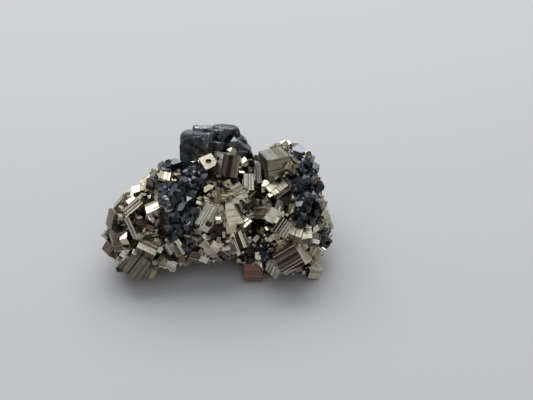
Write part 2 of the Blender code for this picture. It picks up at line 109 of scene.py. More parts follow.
# The massive pyrite under the crystals: lobes as (middle, half sizes).
LOBES = {
    "left_foot": ((-21.5, -9, 8.2), (6.5, 9, 9.5)),
    "left_body": ((-11.5, -4.5, 12), (11, 11, 10.5)),
    "left_hem": ((-13.5, -9.5, 8), (8, 7.5, 6.5)),
    "middle_hem": ((-1.5, -8.5, 8), (9.5, 7, 5.5)),
    "centre": ((0.5, -6.5, 14), (7.5, 9.5, 8.5)),
    "keel": ((3, 1, 8), (16, 12, 5.5)),
    "crown_seat": ((0, 5, 16), (10, 10, 8)),
    "right_shoulder": ((18, 3, 17.5), (7.5, 9.5, 8.5)),
    "right_body": ((20, -4, 12), (8, 9.5, 10)),
    "right_foot": ((19, -11, 6.8), (7.5, 7, 8)),
    "ember_foot": ((11, -10, 4.2), (6, 6, 5.5)),
    "bridge": ((8, 5, 12), (13, 8, 9)),
    "back_heel": ((1, 11, 6), (8.5, 7, 7.5)),
}

# Main pyrite crystals, in millimetres and degrees.
# across and up: where the crystal shows from the display side, from VIEW_MIDDLE.
# size: width, depth and height.  turn: yaw, pitch and roll against the line of sight.
# sink: how far its middle lies behind the lobe's surface, as a share of its depth.
MAIN_PYRITE = [
    # name, across, up, size, turn, sink, form
    ("crest_cube", 15.2, 9.6, (6.4, 6.4, 6.2), (20, 27, -4), 0.05, "level"),
    ("crest_cap", 17.0, 13.4, (2.2, 2.2, 2.0), (30, 20, 20), 0.20, "level"),
    ("window_cube", 2.1, 9.5, (5.2, 5.0, 5.8), (31, 8, 10), -0.40, "upright"),
    ("ring_crystal", -2.5, 9.3, (3.7, 3.4, 4.2), (19, -29, -35), -0.50, "level"),
    ("door_block", 8.0, 4.9, (2.7, 3.4, 4.3), (8, 4, 0), -0.20, "upright"),
    ("slab_left", 9.9, 7.9, (1.2, 3.6, 5.0), (12, 6, 2), -0.10, "upright"),
    ("slab_right", 11.3, 7.2, (1.3, 3.6, 5.0), (-14, 6, -3), -0.10, "upright"),
    ("slant_cube", 4.9, 2.3, (3.4, 3.4, 4.2), (8, 12, -28), 0.05, "level"),
    ("bright_block", 16.3, 3.0, (4.6, 3.8, 2.2), (5, 48, -33), -0.15, "level"),
    ("kite_crystal", 4.0, -3.6, (5.2, 5.4, 6.8), (6, 14, -8), 0.05, "pyritohedron"),
    ("step_crystal", -3.1, -3.1, (4.4, 4.6, 6.2), (24, 22, 30), 0.05, "upright"),
    ("step_side", -5.2, -4.4, (2.6, 3.0, 4.2), (40, 12, 18), 0.15, "upright"),
    ("ribbed_cube", 4.7, -10.7, (5.0, 5.0, 5.0), (12, 4, -20), 0.05, "upright"),
    ("diamond_cube", -1.6, -13.0, (3.3, 3.3, 3.4), (6, 14, 40), 0.10, "level"),
    ("grey_plate", -6.4, -9.8, (5.2, 2.6, 3.0), (10, 48, 28), 0.10, "level"),
    ("foot_cube", -19.0, -13.0, (5.2, 4.8, 4.6), (8, 52, 32), -0.05, "upright"),
    ("toe_cube", -21.8, -17.0, (6.6, 6.0, 6.0), (-4, 2, 38), 0.10, "upright"),
    ("toe_tip", -18.5, -19.2, (3.2, 3.4, 3.0), (20, -6, 25), 0.10, "upright"),
    ("striped_bar", -22.4, -2.8, (5.8, 3.4, 3.0), (4, 46, -38), 0.05, "upright"),
    ("white_flake", -17.0, -2.6, (3.8, 3.0, 3.4), (-8, 54, -30), -0.15, "upright"),
    ("wave_crystal", -22.1, 0.8, (5.0, 3.8, 2.6), (6, 46, -6), 0.15, "upright"),
    ("rise_slab", -18.8, 4.9, (3.4, 2.8, 1.6), (6, 52, -30), 0.30, "upright"),
    ("rise_cube", -16.8, 6.2, (3.0, 3.2, 3.0), (22, 24, 34), 0.20, "upright"),
    ("rim_plate", -13.4, 5.2, (5.2, 2.8, 3.4), (10, 46, 20), -0.45, "level"),
    ("edge_upper", -26.8, -5.2, (4.4, 4.0, 4.6), (34, 18, 14), 0.20, "level"),
    ("edge_middle", -26.2, -10.0, (4.6, 4.2, 4.4), (22, 24, -12), 0.15, "pyritohedron"),
    ("edge_lower", -27.6, -12.8, (4.0, 4.2, 4.0), (44, 6, 30), 0.30, "level"),
    ("edge_blade", -24.0, -7.6, (1.6, 4.0, 5.6), (30, 8, -24), 0.00, "upright"),
    ("ember_left", -20.6, -6.4, (2.8, 2.6, 2.2), (12, 16, 8), 0.05, "level"),
    ("ember_right", -18.0, -7.0, (2.6, 2.4, 2.0), (-10, 30, 12), 0.05, "level"),
    ("shelf_plate", -18.0, -8.6, (3.4, 2.6, 2.0), (6, 52, -10), 0.00, "level"),
    ("low_prism", -13.2, -12.6, (2.6, 2.8, 3.2), (28, 14, -30), 0.10, "upright"),
    ("low_blade", -10.6, -12.0, (1.6, 3.0, 4.6), (18, 10, -38), 0.10, "upright"),
    ("low_block", -12.8, -16.6, (3.2, 3.2, 2.8), (16, 20, 24), 0.20, "level"),
    ("hem_block", -8.4, -15.4, (3.6, 3.0, 2.6), (34, 12, -22), 0.10, "level"),
    ("rust_block", 1.9, -14.4, (3.0, 2.4, 1.9), (-6, 10, 32), 0.05, "level"),
    ("stage_crystal", 15.0, -3.7, (5.0, 4.4, 4.6), (14, 4, 22), 0.00, "pyritohedron"),
    ("stage_rib", 16.6, -1.4, (1.8, 2.6, 3.2), (-12, 16, 10), 0.05, "upright"),
    ("zebra_cube", 17.7, -7.5, (4.6, 4.2, 4.4), (-8, 2, 34), -0.15, "upright"),
    ("fan_left", 20.6, -8.3, (3.4, 5.0, 2.4), (4, 48, 24), -0.50, "level"),
    ("fan_right", 23.3, -8.9, (3.4, 5.2, 2.4), (-4, 50, -8), -0.50, "upright"),
    ("giant_cube", 19.8, -15.3, (6.8, 6.4, 6.6), (-21, -4, -30), -0.15, "level"),
    ("giant_shoulder", 17.2, -10.9, (3.4, 3.0, 2.4), (10, 26, -24), 0.10, "level"),
    ("corner_block", 25.3, -18.8, (3.4, 3.2, 3.4), (26, 16, 18), 0.05, "level"),
    ("rim_upper", 26.6, -1.6, (3.2, 3.4, 3.6), (-24, 14, 20), 0.60, "level"),
    ("rim_middle", 27.7, -6.0, (3.8, 3.4, 4.2), (-34, 10, -10), 0.50, "upright"),
    ("rim_lower", 27.2, -9.8, (4.8, 3.8, 3.8), (-18, 20, 26), 0.45, "level"),
    ("ember_cube", 9.2, -18.4, (5.0, 4.6, 4.6), (6, 16, 3), 0.10, "level"),
    ("sill_block", 13.4, -19.2, (3.2, 3.0, 2.8), (20, 18, 14), 0.10, "level"),
    ("dark_cube", 6.8, -0.8, (3.0, 3.0, 2.8), (-22, 28, 26), 0.05, "upright"),
    ("grey_cube", 2.2, 1.2, (2.8, 2.8, 2.6), (6, 20, 4), 0.05, "level"),
    ("reed_block", -0.4, 0.8, (2.0, 2.6, 3.6), (14, 12, -6), 0.05, "upright"),
    ("olive_cube", 8.6, -4.2, (3.4, 3.2, 3.0), (10, 26, -16), 0.10, "pyritohedron"),
    ("tan_cube", 7.6, -1.9, (2.0, 2.2, 2.4), (-20, 22, 30), 0.00, "level"),
    ("bright_kite", 0.5, -3.2, (2.0, 2.4, 3.8), (18, 20, -16), -0.05, "level"),
    ("gully_cube", 10.4, -6.6, (3.4, 3.4, 3.4), (30, 30, 10), 0.10, "level"),
]

# Pyrite's shades, as the metal's own colour and its tarnish. The tables below also use them as painted
# light and shade on faces.
PALE = (1.0, 0.96, 0.85)
CREAM = (0.88, 0.83, 0.69)
CHAMPAGNE = (0.68, 0.63, 0.48)
STEEL = (0.60, 0.59, 0.52)
OLIVE = (0.36, 0.335, 0.24)
MOSS = (0.22, 0.21, 0.15)
BROWN = (0.20, 0.16, 0.12)
MAROON = (0.12, 0.070, 0.062)
EMBER = (0.28, 0.18, 0.14)
RUST = (0.20, 0.12, 0.10)
# Painted shade: near black, for the shade between and inside the crystals, on dark faces and on line
# steps.
PAINTED_SHADE = (0.05, 0.042, 0.03)
GLINT = (0.31, 0.29, 0.23)   # a face that mirrors the softbox, and so shows pale

# Single bright grains: across, up, how far in front of the lobe's surface, size, turn, shade.
FLAKES = [
    (-19.5, 3.0, 0.2, (2.6, 1.6, 1.2), (0, 56, -8), GLINT),
    (-3.9, 6.3, 1.8, (2.2, 1.0, 1.0), (0, 54, 46), GLINT),
    (-2.8, 2.8, 0.8, (2.4, 1.6, 1.2), (20, 56, -16), GLINT),
    (-11.2, 5.8, 2.2, (2.0, 2.2, 1.4), (10, 50, 14), GLINT),
    (-12.2, 2.7, 2.0, (1.4, 1.2, 1.2), (30, 40, 20), GLINT),
    (-13.4, 1.3, 1.8, (1.8, 1.4, 1.3), (-20, 44, -10), OLIVE),
    (-10.9, 0.9, 2.2, (1.3, 0.8, 0.7), (0, 52, -24), GLINT),
    (-4.9, 0.2, 0.6, (1.8, 1.2, 1.0), (0, 54, 24), GLINT),
    (-16.8, -16.7, 0.6, (1.5, 1.4, 1.3), (20, 46, 30), GLINT),
    (-25.6, -2.3, 0.4, (2.2, 1.2, 1.2), (0, 50, 34), GLINT),
    (12.0, 1.9, 0.2, (0.5, 0.8, 1.4), (-30, 30, 4), GLINT),
    (1.9, 3.4, 0.5, (0.9, 0.9, 0.9), (20, 50, 20), GLINT),
    (7.3, -0.6, 0.8, (0.9, 0.8, 1.0), (20, 50, -30), GLINT),
    (6.5, -7.8, 0.6, (1.5, 1.2, 1.5), (10, 46, 40), GLINT),
    (20.2, 10.4, 1.2, (2.4, 1.0, 1.2), (0, 54, 34), GLINT),
    (19.8, 7.4, 1.2, (1.4, 1.2, 1.2), (10, 50, 60), GLINT),
    (16.0, 14.2, 0.4, (1.5, 1.0, 1.4), (20, 50, -36), GLINT),
    (27.6, 0.6, 0.0, (0.9, 0.9, 1.1), (0, 50, 30), GLINT),
    (-18.4, -5.2, 0.6, (1.2, 1.0, 1.0), (30, 50, 10), GLINT),
    (-7.4, 7.4, 2.0, (1.2, 0.9, 0.8), (10, 54, 10), GLINT),
    (-5.8, -1.6, 0.8, (1.6, 0.7, 0.8), (0, 52, 36), GLINT),
    (10.6, -4.4, 0.2, (1.2, 1.0, 0.9), (10, 50, 20), OLIVE),
    (-9.2, -12.2, 1.6, (0.9, 0.8, 0.8), (10, 52, 30), GLINT),
    (-7.0, -11.0, 1.4, (0.8, 0.7, 0.7), (40, 52, 10), GLINT),
]

# Pits in the main crystals' faces: axis, sign, place by shares of the half sizes, radius, depth.
PITS = {
    "window_cube": (0, -1, 0.0, 0.45, 0.65, 1.2),
    "ring_crystal": (1, -1, 0.0, 0.0, 0.85, 0.5),
}

# The part's own smaller cubes between the main ones, drawn as the part draws them.
FILLERS_TRIED = 12
FILLER_EDGE = (2.6, 4.8)
FLOOR_CLEAR = 2.0
UNDERSIDE = -0.55
BURIED = 0.97              # a place this deep in another lobe is inside the rock
CROWDED = (0.66, 0.4)      # the room that two crystals need: by their reach, and more
COVERED = 1.05             # how far from a lump's middle pyrite starts again
PYRITOHEDRON_KEEP = 0.86   # where its faces cut, on the way to the cube's edges
OPEN_SIDE = 0.1            # a lump's crystals stand where it faces outward more than this
CRYSTAL_SINK = 0.2         # and this share of their size lies in the lump

# Sphalerite faces, by the crystal's size: the larger ones and the smaller ones.
TETRAHEDRAL = ((0.30, 0.38), (0.42, 0.52))
BLOCKY = ((0.70, 0.78), (0.84, 0.92))

# The cluster's upper outline from the display side, as (across, up). No filler passes it.
SKYLINE = [(-32, -4), (-28, -1), (-25, 2.5), (-20, 4.5), (-14, 10), (-10, 13), (10, 10.5),
           (12, 13), (20, 14), (26, 9.5), (28, 0), (30, -6), (32, -12)]

# The small cubes that only this model has: how many are tried on each lobe, and their edges.
SMALL_TRIED = 460
SMALL_EDGE = (0.8, 2.6)
SMALL_JITTER = 0.08        # how far a small cube strays from its even place on the lobe
SMALL_LIFT = (-0.25, 0.35)    # how far it stands out of the lobe, by its edge
SMALL_PARALLEL = 0.55      # share of the small cubes that are turned nearly as their neighbour
SMALL_LEAN = 0.15          # and how far from it
SMALL_CROWDED = (0.9, 0.34)   # the room they need: by the larger crystal's reach, and by edges
SMALL_REACH = 1.05         # how far a small cube reaches from its middle, by its edge
# The small cubes' shades by weight. The near-black ones are painted shade between the crystals.
SMALL_COMMON = [(PALE, 2), (CREAM, 8), (CHAMPAGNE, 6), (STEEL, 2), (OLIVE, 2), (BROWN, 1), (PAINTED_SHADE, 6)]

# Bevels of the crown's first block, as (direction, share of the way to the edge, shade).
# These shades and the block's front shade are painted light and shade, face by face.
CROWN_BEVELS = [((0, -0.8, 0.6), 0.863, 0.32), ((0.42, -0.86, 0.27), 0.763, 1.5),
                ((-0.6, 0, 0.8), 0.90, 0.5)]
# Painted shade on the first block's own faces, dark as its front shows.
CROWN_FRONT_PAINTED_SHADE = 0.30
CROWN_SHADE = (0.08, 0.62)
CROWN_BLUNTNESS = (40, 24, 12, 16, 14, 12, 20, 14, 14, 16)
CROWN_SWELL = (0.22, 0.07)   # how far the blocks' faces are uneven: broadly and finely
NOISE_SHIFT = 50             # each block's unevenness starts this far away at most
CROWN_FINE = [                # blocks that only this model has
    ((-1.2, 15.2, 1.8), (4.6, 5.0, 8.4), (18, 12, 2)),
    ((4.2, 15.1, 3.2), (4.4, 5.2, 6.0), (28, 14, 40)),
]

# Painted gleams: where sphalerite faces gleam in the photograph, as across, up, half width and half
# height.
PAINTED_GLEAMS = [(-4.1, 19.45, 2.1, 0.42), (-0.35, 18.5, 0.30, 0.30), (3.5, 13.2, 0.40, 0.25),
          (22.0, -1.3, 0.7, 0.7), (-2.9, 2.7, 1.1, 0.5), (-11.4, -12.0, 0.3, 0.3)]
# A painted highlight: a near-white colour and the most gloss.
PAINTED_GLEAM_SHADE = Vector((38, 38, 31))
PAINTED_GLEAM_FACING = 0.2         # least share of a gleaming face that is turned to the display side
# A prism that stands out to carry one painted gleam: its group, across, up, lift, size and turn.
PAINTED_GLEAM_PRISM = ("sphalerite_flank", 22.0, -1.3, 2.0, (1.4, 5.0, 1.3), (20, -8, 20))

# The crown's blocks, set out against the line of sight as the main crystals are.
CROWN = [
    # across, up, away      size             turn
    ((-5.6, 13.9, 1.0), (8.9, 8.6, 9.0), (0, 11, 0)),
    ((-4.0, 15.4, 4.6), (6.4, 6.0, 9.2), (8, 12, 2)),
    ((1.6, 14.9, 2.5), (6.4, 6.8, 10.6), (32, 16, 3)),
    ((3.9, 12.9, 2.2), (6.6, 7.0, 8.2), (20, 18, 42)),
    ((4.9, 11.3, 1.6), (5.6, 6.6, 7.0), (36, 16, 24)),
    ((6.4, 9.2, 2.0), (4.8, 5.6, 6.2), (10, 24, 12)),
    ((-0.6, 12.2, -1.2), (4.6, 5.0, 7.0), (-24, 8, 10)),
    ((1.0, 9.2, 7.0), (11.0, 8.0, 9.0), (12, -6, 8)),
]

GROUPS = {
    "sphalerite_band": ([
        (-13.2, 7.6, 2.6), (-11.2, 7.0, 2.8), (-8.0, 6.2, 3.2), (-4.8, 6.2, 2.8),
        (-14.2, 3.6, 3.0), (-11.2, 2.8, 3.4), (-7.5, 2.6, 3.4), (-4.4, 3.0, 2.6),
        (-13.0, -0.9, 3.0), (-9.3, -1.2, 3.4), (-12.3, -4.4, 3.0), (-8.5, -4.6, 2.8),
        (-12.0, -7.4, 2.6),
    ], (2.6, 4.0), 4),
    "sphalerite_flank": ([
        (20.4, 11.8, 2.2), (22.2, 8.8, 3.0), (23.8, 6.8, 2.6), (23.0, 4.4, 3.4),
        (20.6, 3.0, 2.8), (24.2, 1.5, 3.0), (22.4, -1.2, 3.2), (24.2, -3.2, 2.8),
        (21.4, -3.8, 2.4),
    ], (2.8, 4.2), 4),
    "sphalerite_low_right": ([(26.6, -9.8, 2.6)], (2.2, 3.2), 7),
    "sphalerite_gully": ([(12.4, -13.6, 2.8)], (2.2, 3.2), 7),
    "sphalerite_speck": ([(-8.2, -11.4, 1.6)], (1.6, 2.4), 5),
}
LUMP_SINK = 0.55
OVERGROWTH_EDGES = (1.4, 3.2)
OVERGROWTH_TRIED = 5
SPHALERITE_SHADES = (0.10, 0.20, 0.40, 0.6, 0.9, 1.3)
CROWN_LEDGES = 3
CHIPS = (0, 1, 1, 2, 3)    # how many corners a small cube has lost
CHIP_DEPTH = (0.62, 0.88)  # where a chip cuts, on the way to the corner
CHIP_LEAN = 0.6            # how far a chip leans from the corner's own direction
OFFSHOOTS = 2              # blocks grown with each main crystal: how many,
OFFSHOOT_SHARE = (0.4, 0.72)   # their size by the crystal's,
OFFSHOOT_PROUD = (0.10, 0.45)  # how far they stand out,
OFFSHOOT_LEAN = 4          # and how far they lean, in degrees
LEDGE_SHARE = (0.22, 0.6)  # a crown ledge's size, by its block's
LEDGE_PROUD = (0.08, 0.5)  # and how far it stands out
LEDGE_LEAN = 0.1
LOBE_ROUGH = (0.9, 0.5)    # noise on the bare pyrite: its scale and its height
FLAKE_CHIPS = 3
FLAKE_SHADE = (0.45, 1.0)  # a bright grain's own shade is taken by this much

BACK_GROUPS = {
    "sphalerite_back_left": ([(-14.2, 5.4, 12.8, 3.4), (-11.0, 6.8, 9.6, 3.0)], (2.6, 3.8), 6),
    "sphalerite_back_right": ([(20.0, 9.6, 11.6, 3.4), (16.6, 10.6, 14.6, 3.0)], (2.6, 3.8), 6),
}

CORNERS = [Vector((x, y, z)) for x in (-1, 1) for y in (-1, 1) for z in (-1, 1)]
AXES = [Vector((1, 0, 0)), Vector((0, 1, 0)), Vector((0, 0, 1))]
NO_LINES = (Vector((0, 0, 0)), Vector((0, 0, 0)))

COMMON = [(CREAM, 2), (CHAMPAGNE, 5), (STEEL, 3), (OLIVE, 4), (BROWN, 2)]

# Faces of the main crystals whose shade the photograph shows: towards the viewer, up, aside.
# Each is partly the tarnish's own colour and partly painted light and shade, paler or darker by the way
# the face turns.
# A list runs across the face's growth lines.
SHADES = {
    "crest_cube": (OLIVE, [STEEL, OLIVE], BROWN),
    "crest_cap": (GLINT, GLINT, OLIVE),
    "window_cube": ([BROWN, BROWN, PAINTED_SHADE, PAINTED_SHADE, OLIVE, OLIVE, CHAMPAGNE], CHAMPAGNE, PALE),
    "ring_crystal": (GLINT, GLINT, GLINT),
    "door_block": (PALE, PALE, OLIVE),
    "slab_left": (PALE, PALE, PAINTED_SHADE),
    "slab_right": (PALE, PALE, PAINTED_SHADE),
    "slant_cube": ([CREAM, CREAM, STEEL, CREAM], CREAM, BROWN),
    "bright_block": ([OLIVE, GLINT, GLINT, OLIVE, GLINT, GLINT], GLINT, CHAMPAGNE),
    "kite_crystal": (CREAM, CREAM, STEEL),
    "step_crystal": ([CREAM, CREAM, STEEL, CREAM], CREAM, STEEL),
    "step_side": ([OLIVE, STEEL, PAINTED_SHADE], CHAMPAGNE, OLIVE),
    "ribbed_cube": ([OLIVE, CREAM, PAINTED_SHADE, CREAM, OLIVE], CREAM, OLIVE),
    "diamond_cube": (CREAM, CREAM, BROWN),
    "grey_plate": (STEEL, STEEL, OLIVE),
    "foot_cube": ([GLINT, GLINT, MAROON, GLINT, RUST, GLINT], CHAMPAGNE, STEEL),
    "toe_cube": ([STEEL] + [MOSS] * 5 + [PAINTED_SHADE] + [MOSS] * 6, CHAMPAGNE, CHAMPAGNE),
    "toe_tip": (OLIVE, BROWN, PAINTED_SHADE),
    "striped_bar": ([CHAMPAGNE, MOSS, CHAMPAGNE, PAINTED_SHADE, CHAMPAGNE, OLIVE], CHAMPAGNE, STEEL),
    "white_flake": ([CREAM, CREAM, MOSS, MOSS], CREAM, CHAMPAGNE),
    "wave_crystal": ([OLIVE, GLINT, PAINTED_SHADE, GLINT], CHAMPAGNE, PAINTED_SHADE),
    "rise_slab": ([GLINT, OLIVE], CHAMPAGNE, CHAMPAGNE),
    "rise_cube": (CHAMPAGNE, CHAMPAGNE, OLIVE),
    "rim_plate": ([GLINT, OLIVE, PAINTED_SHADE, OLIVE], [GLINT, OLIVE, PAINTED_SHADE, OLIVE], OLIVE),
    "edge_upper": (BROWN, [BROWN, STEEL], BROWN),
    "edge_middle": (BROWN, BROWN, BROWN),
    "edge_lower": (BROWN, BROWN, EMBER),
    "edge_blade": (STEEL, STEEL, PAINTED_SHADE),
    "ember_left": (MAROON, MAROON, MAROON),
    "ember_right": (EMBER, EMBER, MAROON),
    "shelf_plate": (MOSS, MOSS, STEEL),
    "low_prism": (PALE, CREAM, CHAMPAGNE),
    "low_blade": (PALE, CREAM, OLIVE),
    "low_block": (CREAM, CREAM, CHAMPAGNE),
    "hem_block": (CREAM, PALE, CHAMPAGNE),
    "rust_block": (EMBER, EMBER, BROWN),
    "zebra_cube": ([STEEL, PAINTED_SHADE, CREAM, PAINTED_SHADE, CREAM, PAINTED_SHADE, STEEL, OLIVE, CREAM, OLIVE, STEEL, PAINTED_SHADE],
                   CREAM, PAINTED_SHADE),
    "fan_left": (GLINT, GLINT, STEEL),
    "fan_right": ([GLINT, GLINT, MOSS, GLINT], GLINT, STEEL),
    "giant_cube": ([MAROON, MAROON, CHAMPAGNE, MAROON, CHAMPAGNE] + [MAROON] * 5 + [CHAMPAGNE]
                   + [MAROON] * 2 + [CHAMPAGNE] + [MAROON] * 2, CHAMPAGNE, CREAM),
    "giant_shoulder": (BROWN, CHAMPAGNE, BROWN),
    "corner_block": (CHAMPAGNE, STEEL, BROWN),
    "stage_crystal": (PALE, PALE, PALE),
    "stage_rib": (CREAM, CREAM, PAINTED_SHADE),
    "ember_cube": (RUST, EMBER, MAROON),
    "dark_cube": (PAINTED_SHADE, STEEL, PAINTED_SHADE),
    "tan_cube": (CREAM, CREAM, CHAMPAGNE),
    "bright_kite": (CREAM, CREAM, CREAM),
    # The gully's cube is painted shade on every face.
    "gully_cube": (PAINTED_SHADE, PAINTED_SHADE, PAINTED_SHADE),
}

# Growth lines of the main crystals: lines a face, depth, and how far a line's shade leaves the face's own,
# towards its riser's painted highlight or painted shade. The others have LINES_A_MM, LINE_DEPTH and
# LINE_CONTRAST.
LINES = {
    "crest_cube": (9, 0.12, 0.30), "window_cube": (6, 0.08, 0.18), "ring_crystal": (2, 0.05, 0.15),
    "door_block": (7, 0.10, 0.35), "slab_left": (2, 0.10, 0.40), "slab_right": (3, 0.16, 0.60),
    "slant_cube": (7, 0.20, 0.70), "bright_block": (6, 0.12, 0.40), "kite_crystal": (3, 0.10, 0.25),
    "step_crystal": (6, 0.20, 0.40), "ribbed_cube": (13, 0.34, 0.95), "diamond_cube": (8, 0.06, 0.14),
    "grey_plate": (4, 0.10, 0.25), "foot_cube": (5, 0.10, 0.22), "toe_cube": (24, 0.12, 0.22),
    "striped_bar": (9, 0.16, 0.55), "white_flake": (2, 0.16, 0.30), "wave_crystal": (3, 0.24, 0.50),
    "rise_slab": (2, 0.10, 0.30), "stage_crystal": (2, 0.05, 0.10), "zebra_cube": (11, 0.30, 0.90),
    "giant_cube": (15, 0.12, 0.30), "ember_cube": (2, 0.05, 0.10), "dark_cube": (2, 0.10, 0.30),
    "fan_left": (3, 0.08, 0.20), "fan_right": (3, 0.10, 0.40), "corner_block": (3, 0.10, 0.30),
    "rim_upper": (3, 0.10, 0.30), "rim_middle": (3, 0.10, 0.30), "rim_lower": (3, 0.10, 0.30),
    "edge_upper": (4, 0.12, 0.30), "edge_middle": (4, 0.12, 0.30), "edge_lower": (3, 0.12, 0.30),
    "gully_cube": (2, 0.10, 0.20), "ember_left": (2, 0.05, 0.08), "ember_right": (2, 0.05, 0.08),
}
LINES_A_MM = 1.5
LINE_DEPTH = 0.22
LINE_CONTRAST = 0.7
RISER_WIDTH = 0.2
# Share of the risers with a painted highlight; the others take painted shade.
PAINTED_HIGHLIGHT_SHARE = 0.5
LINE_STRAY = 0.3           # how far a line strays, by the lines' spacing
LINE_TONES = (0.85, 1.12)  # and how far its ledge's shade leaves the face's
RISER_SHARE = (0.12, 0.34)
PROFILE_SPARE = 1.1        # how far the ledges run past the face's edge
PRISM_SPARE = 1.2          # and the prism past the crystal

# Slanted faces that some main crystals show: towards right, away and up, and how far out.
CUTS = {
    "kite_crystal": [((0.86, -0.10, 0.50), 1.5), ((-1, 0, 0), 1.9), ((0.2, 0, -1), 2.9)],
    "ring_crystal": [((0.9, 0, -0.3), 1.7), ((-0.6, 0, -0.8), 1.8)],
    "window_cube": [((-0.5, -0.2, -0.85), 3.2)],
    "stage_crystal": [((0.5, -0.3, 0.8), 1.9), ((-0.8, -0.2, 0.6), 2.1)],
    "diamond_cube": [((0, -0.4, -0.9), 1.9)],
    "bright_kite": [((-0.8, -0.2, 0.5), 0.9), ((0.8, -0.2, -0.4), 0.9)],
    "giant_cube": [((0.1, -0.5, -0.85), 4.0)],
}

# Mains that show one clean face to the display side.
PLAIN_FRONT = ("crest_cube", "giant_cube", "window_cube", "kite_crystal", "ring_crystal", "door_block",
               "stage_crystal", "slab_left", "slab_right", "ember_cube")


def cube_faces(size):
    """The six faces of a cube or block, as (outward normal, distance)."""
    width, depth, height = size
    return [(Vector((s, 0, 0)), width / 2) for s in (-1, 1)] + \
           [(Vector((0, s, 0)), depth / 2) for s in (-1, 1)] + \
           [(Vector((0, 0, s)), height / 2) for s in (-1, 1)]


def pyritohedron_faces(size, keep):
    """The twelve slanted faces of a pyritohedron, at keep of the way to the cube's edges."""
    faces = []
    for a in range(3):
        b = (a + 1) % 3
        for sign_a in (-1, 1):
            for sign_b in (-1, 1):
                normal = Vector((0, 0, 0))
                normal[a], normal[b] = 2 * sign_a, sign_b
                reach = (2 * size[a] + size[b]) / 2 / normal.length
                faces.append((normal.normalized(), reach * keep))
    return faces


def tetrahedral_faces(size, rng):
    """A small sphalerite crystal: four large faces and four small ones between them."""
    faces = []
    for corner in CORNERS:
        large = corner.x * corner.y * corner.z > 0
        share = rng.uniform(*TETRAHEDRAL[0 if large else 1])
        faces.append((corner.normalized(), size * share))
    return faces


def blocky_faces(size, rng):
    """A large sphalerite crystal: a block whose corners are cut by tetrahedral faces."""
    faces = cube_faces(size)
    for corner in CORNERS:
        large = corner.x * corner.y * corner.z > 0
        share = rng.uniform(*BLOCKY[0 if large else 1])
        faces.append((corner.normalized(), share * sum(size) / 2 / math.sqrt(3)))
    return faces


class Crystal:
    """A convex crystal: flat faces at given distances round its middle."""

    def __init__(self, middle, turn, faces, size, name="", form="block"):
        self.middle, self.turn, self.faces = middle, turn, faces
        self.size, self.name, self.form = size, name, form

    @property
    def reach(self):
        return max(self.size) / 2


class Lump:
    """A lump of massive mineral."""

    def __init__(self, middle, half_sizes):
        self.middle, self.half_sizes = middle, half_sizes
        self.reach = max(half_sizes)


def in_view(turn):
    """A turn given as yaw, pitch and roll against the line of sight, as a matrix."""
    yaw, pitch, roll = (math.radians(a) for a in turn)
    facing = Matrix((VIEW_RIGHT, VIEW_AWAY, VIEW_UP)).transposed()
    return (facing @ Matrix.Rotation(roll, 3, "Y") @ Matrix.Rotation(pitch, 3, "X")
            @ Matrix.Rotation(yaw, 3, "Z"))


def stray(reach, rng):
    """A small vector in any direction."""
    return Vector([rng.uniform(-reach, reach) for _ in range(3)])


def random_turn(rng):
    return Euler([rng.uniform(0, 2 * math.pi) for _ in range(3)]).to_matrix()


def depth_in(point, lobe):
    """Below 1 inside the lobe, 1 on its surface, more outside."""
    middle, half = lobe
    return math.sqrt(sum(((p - m) / h) ** 2 for p, m, h in zip(point, middle, half)))


def in_other_lobe(place, name):
    """Whether a place on one lobe's surface lies inside another lobe."""
    return any(depth_in(place, lobe) < BURIED for other, lobe in LOBES.items() if other != name)


def in_depth(across, up, away):
    """A place given against the line of sight, from VIEW_MIDDLE."""
    return VIEW_MIDDLE + VIEW_RIGHT * across + VIEW_UP * up + VIEW_AWAY * away


def meet_lobes(across, up):
    """Where the line of sight through a place in the display view first meets a lobe."""
    through = VIEW_MIDDLE + VIEW_RIGHT * across + VIEW_UP * up
    sight = (through - EYE).normalized()
    met, passed = [], []
    for middle, half in LOBES.values():
        start = Vector([(e - m) / h for e, m, h in zip(EYE, middle, half)])
        way = Vector([s / h for s, h in zip(sight, half)])
        a, b, c = way.dot(way), start.dot(way), start.dot(start) - 1
        passed.append((c - b * b / a, -b / a))
        if b * b > a * c:
            met.append((-b - math.sqrt(b * b - a * c)) / a)
    # A place past the outline is level with the lobe that the line passes closest to.
    reach = min(met) if met else min(passed)[1]
    return EYE + sight * reach, sight


def main_crystals():
    found = []
    for name, across, up, size, turn, sink, form in MAIN_PYRITE:
        surface, sight = meet_lobes(across, up)
        faces = cube_faces(size)
        if form == "pyritohedron":
            faces += pyritohedron_faces(size, PYRITOHEDRON_KEEP)
        found.append(Crystal(surface + sight * sink * size[1], in_view(turn), faces, size,
                             name, form))
    return found


def spiral(count):
    """Directions spread evenly over a sphere."""
    for i in range(count):
        z = 1 - (2 * i + 1) / count
        angle = i * math.pi * (3 - math.sqrt(5))
        ring = math.sqrt(1 - z * z)
        yield Vector((ring * math.cos(angle), ring * math.sin(angle), z))


def past_outline(place, reach):
    """Whether something at a place would show past the cluster's upper outline."""
    across, up = place.x, (place - VIEW_MIDDLE).dot(VIEW_UP)
    for (x0, up0), (x1, up1) in zip(SKYLINE, SKYLINE[1:]):
        if x0 <= across <= x1:
            share = (across - x0) / (x1 - x0)
            return up + reach > up0 + (up1 - up0) * share
    return True


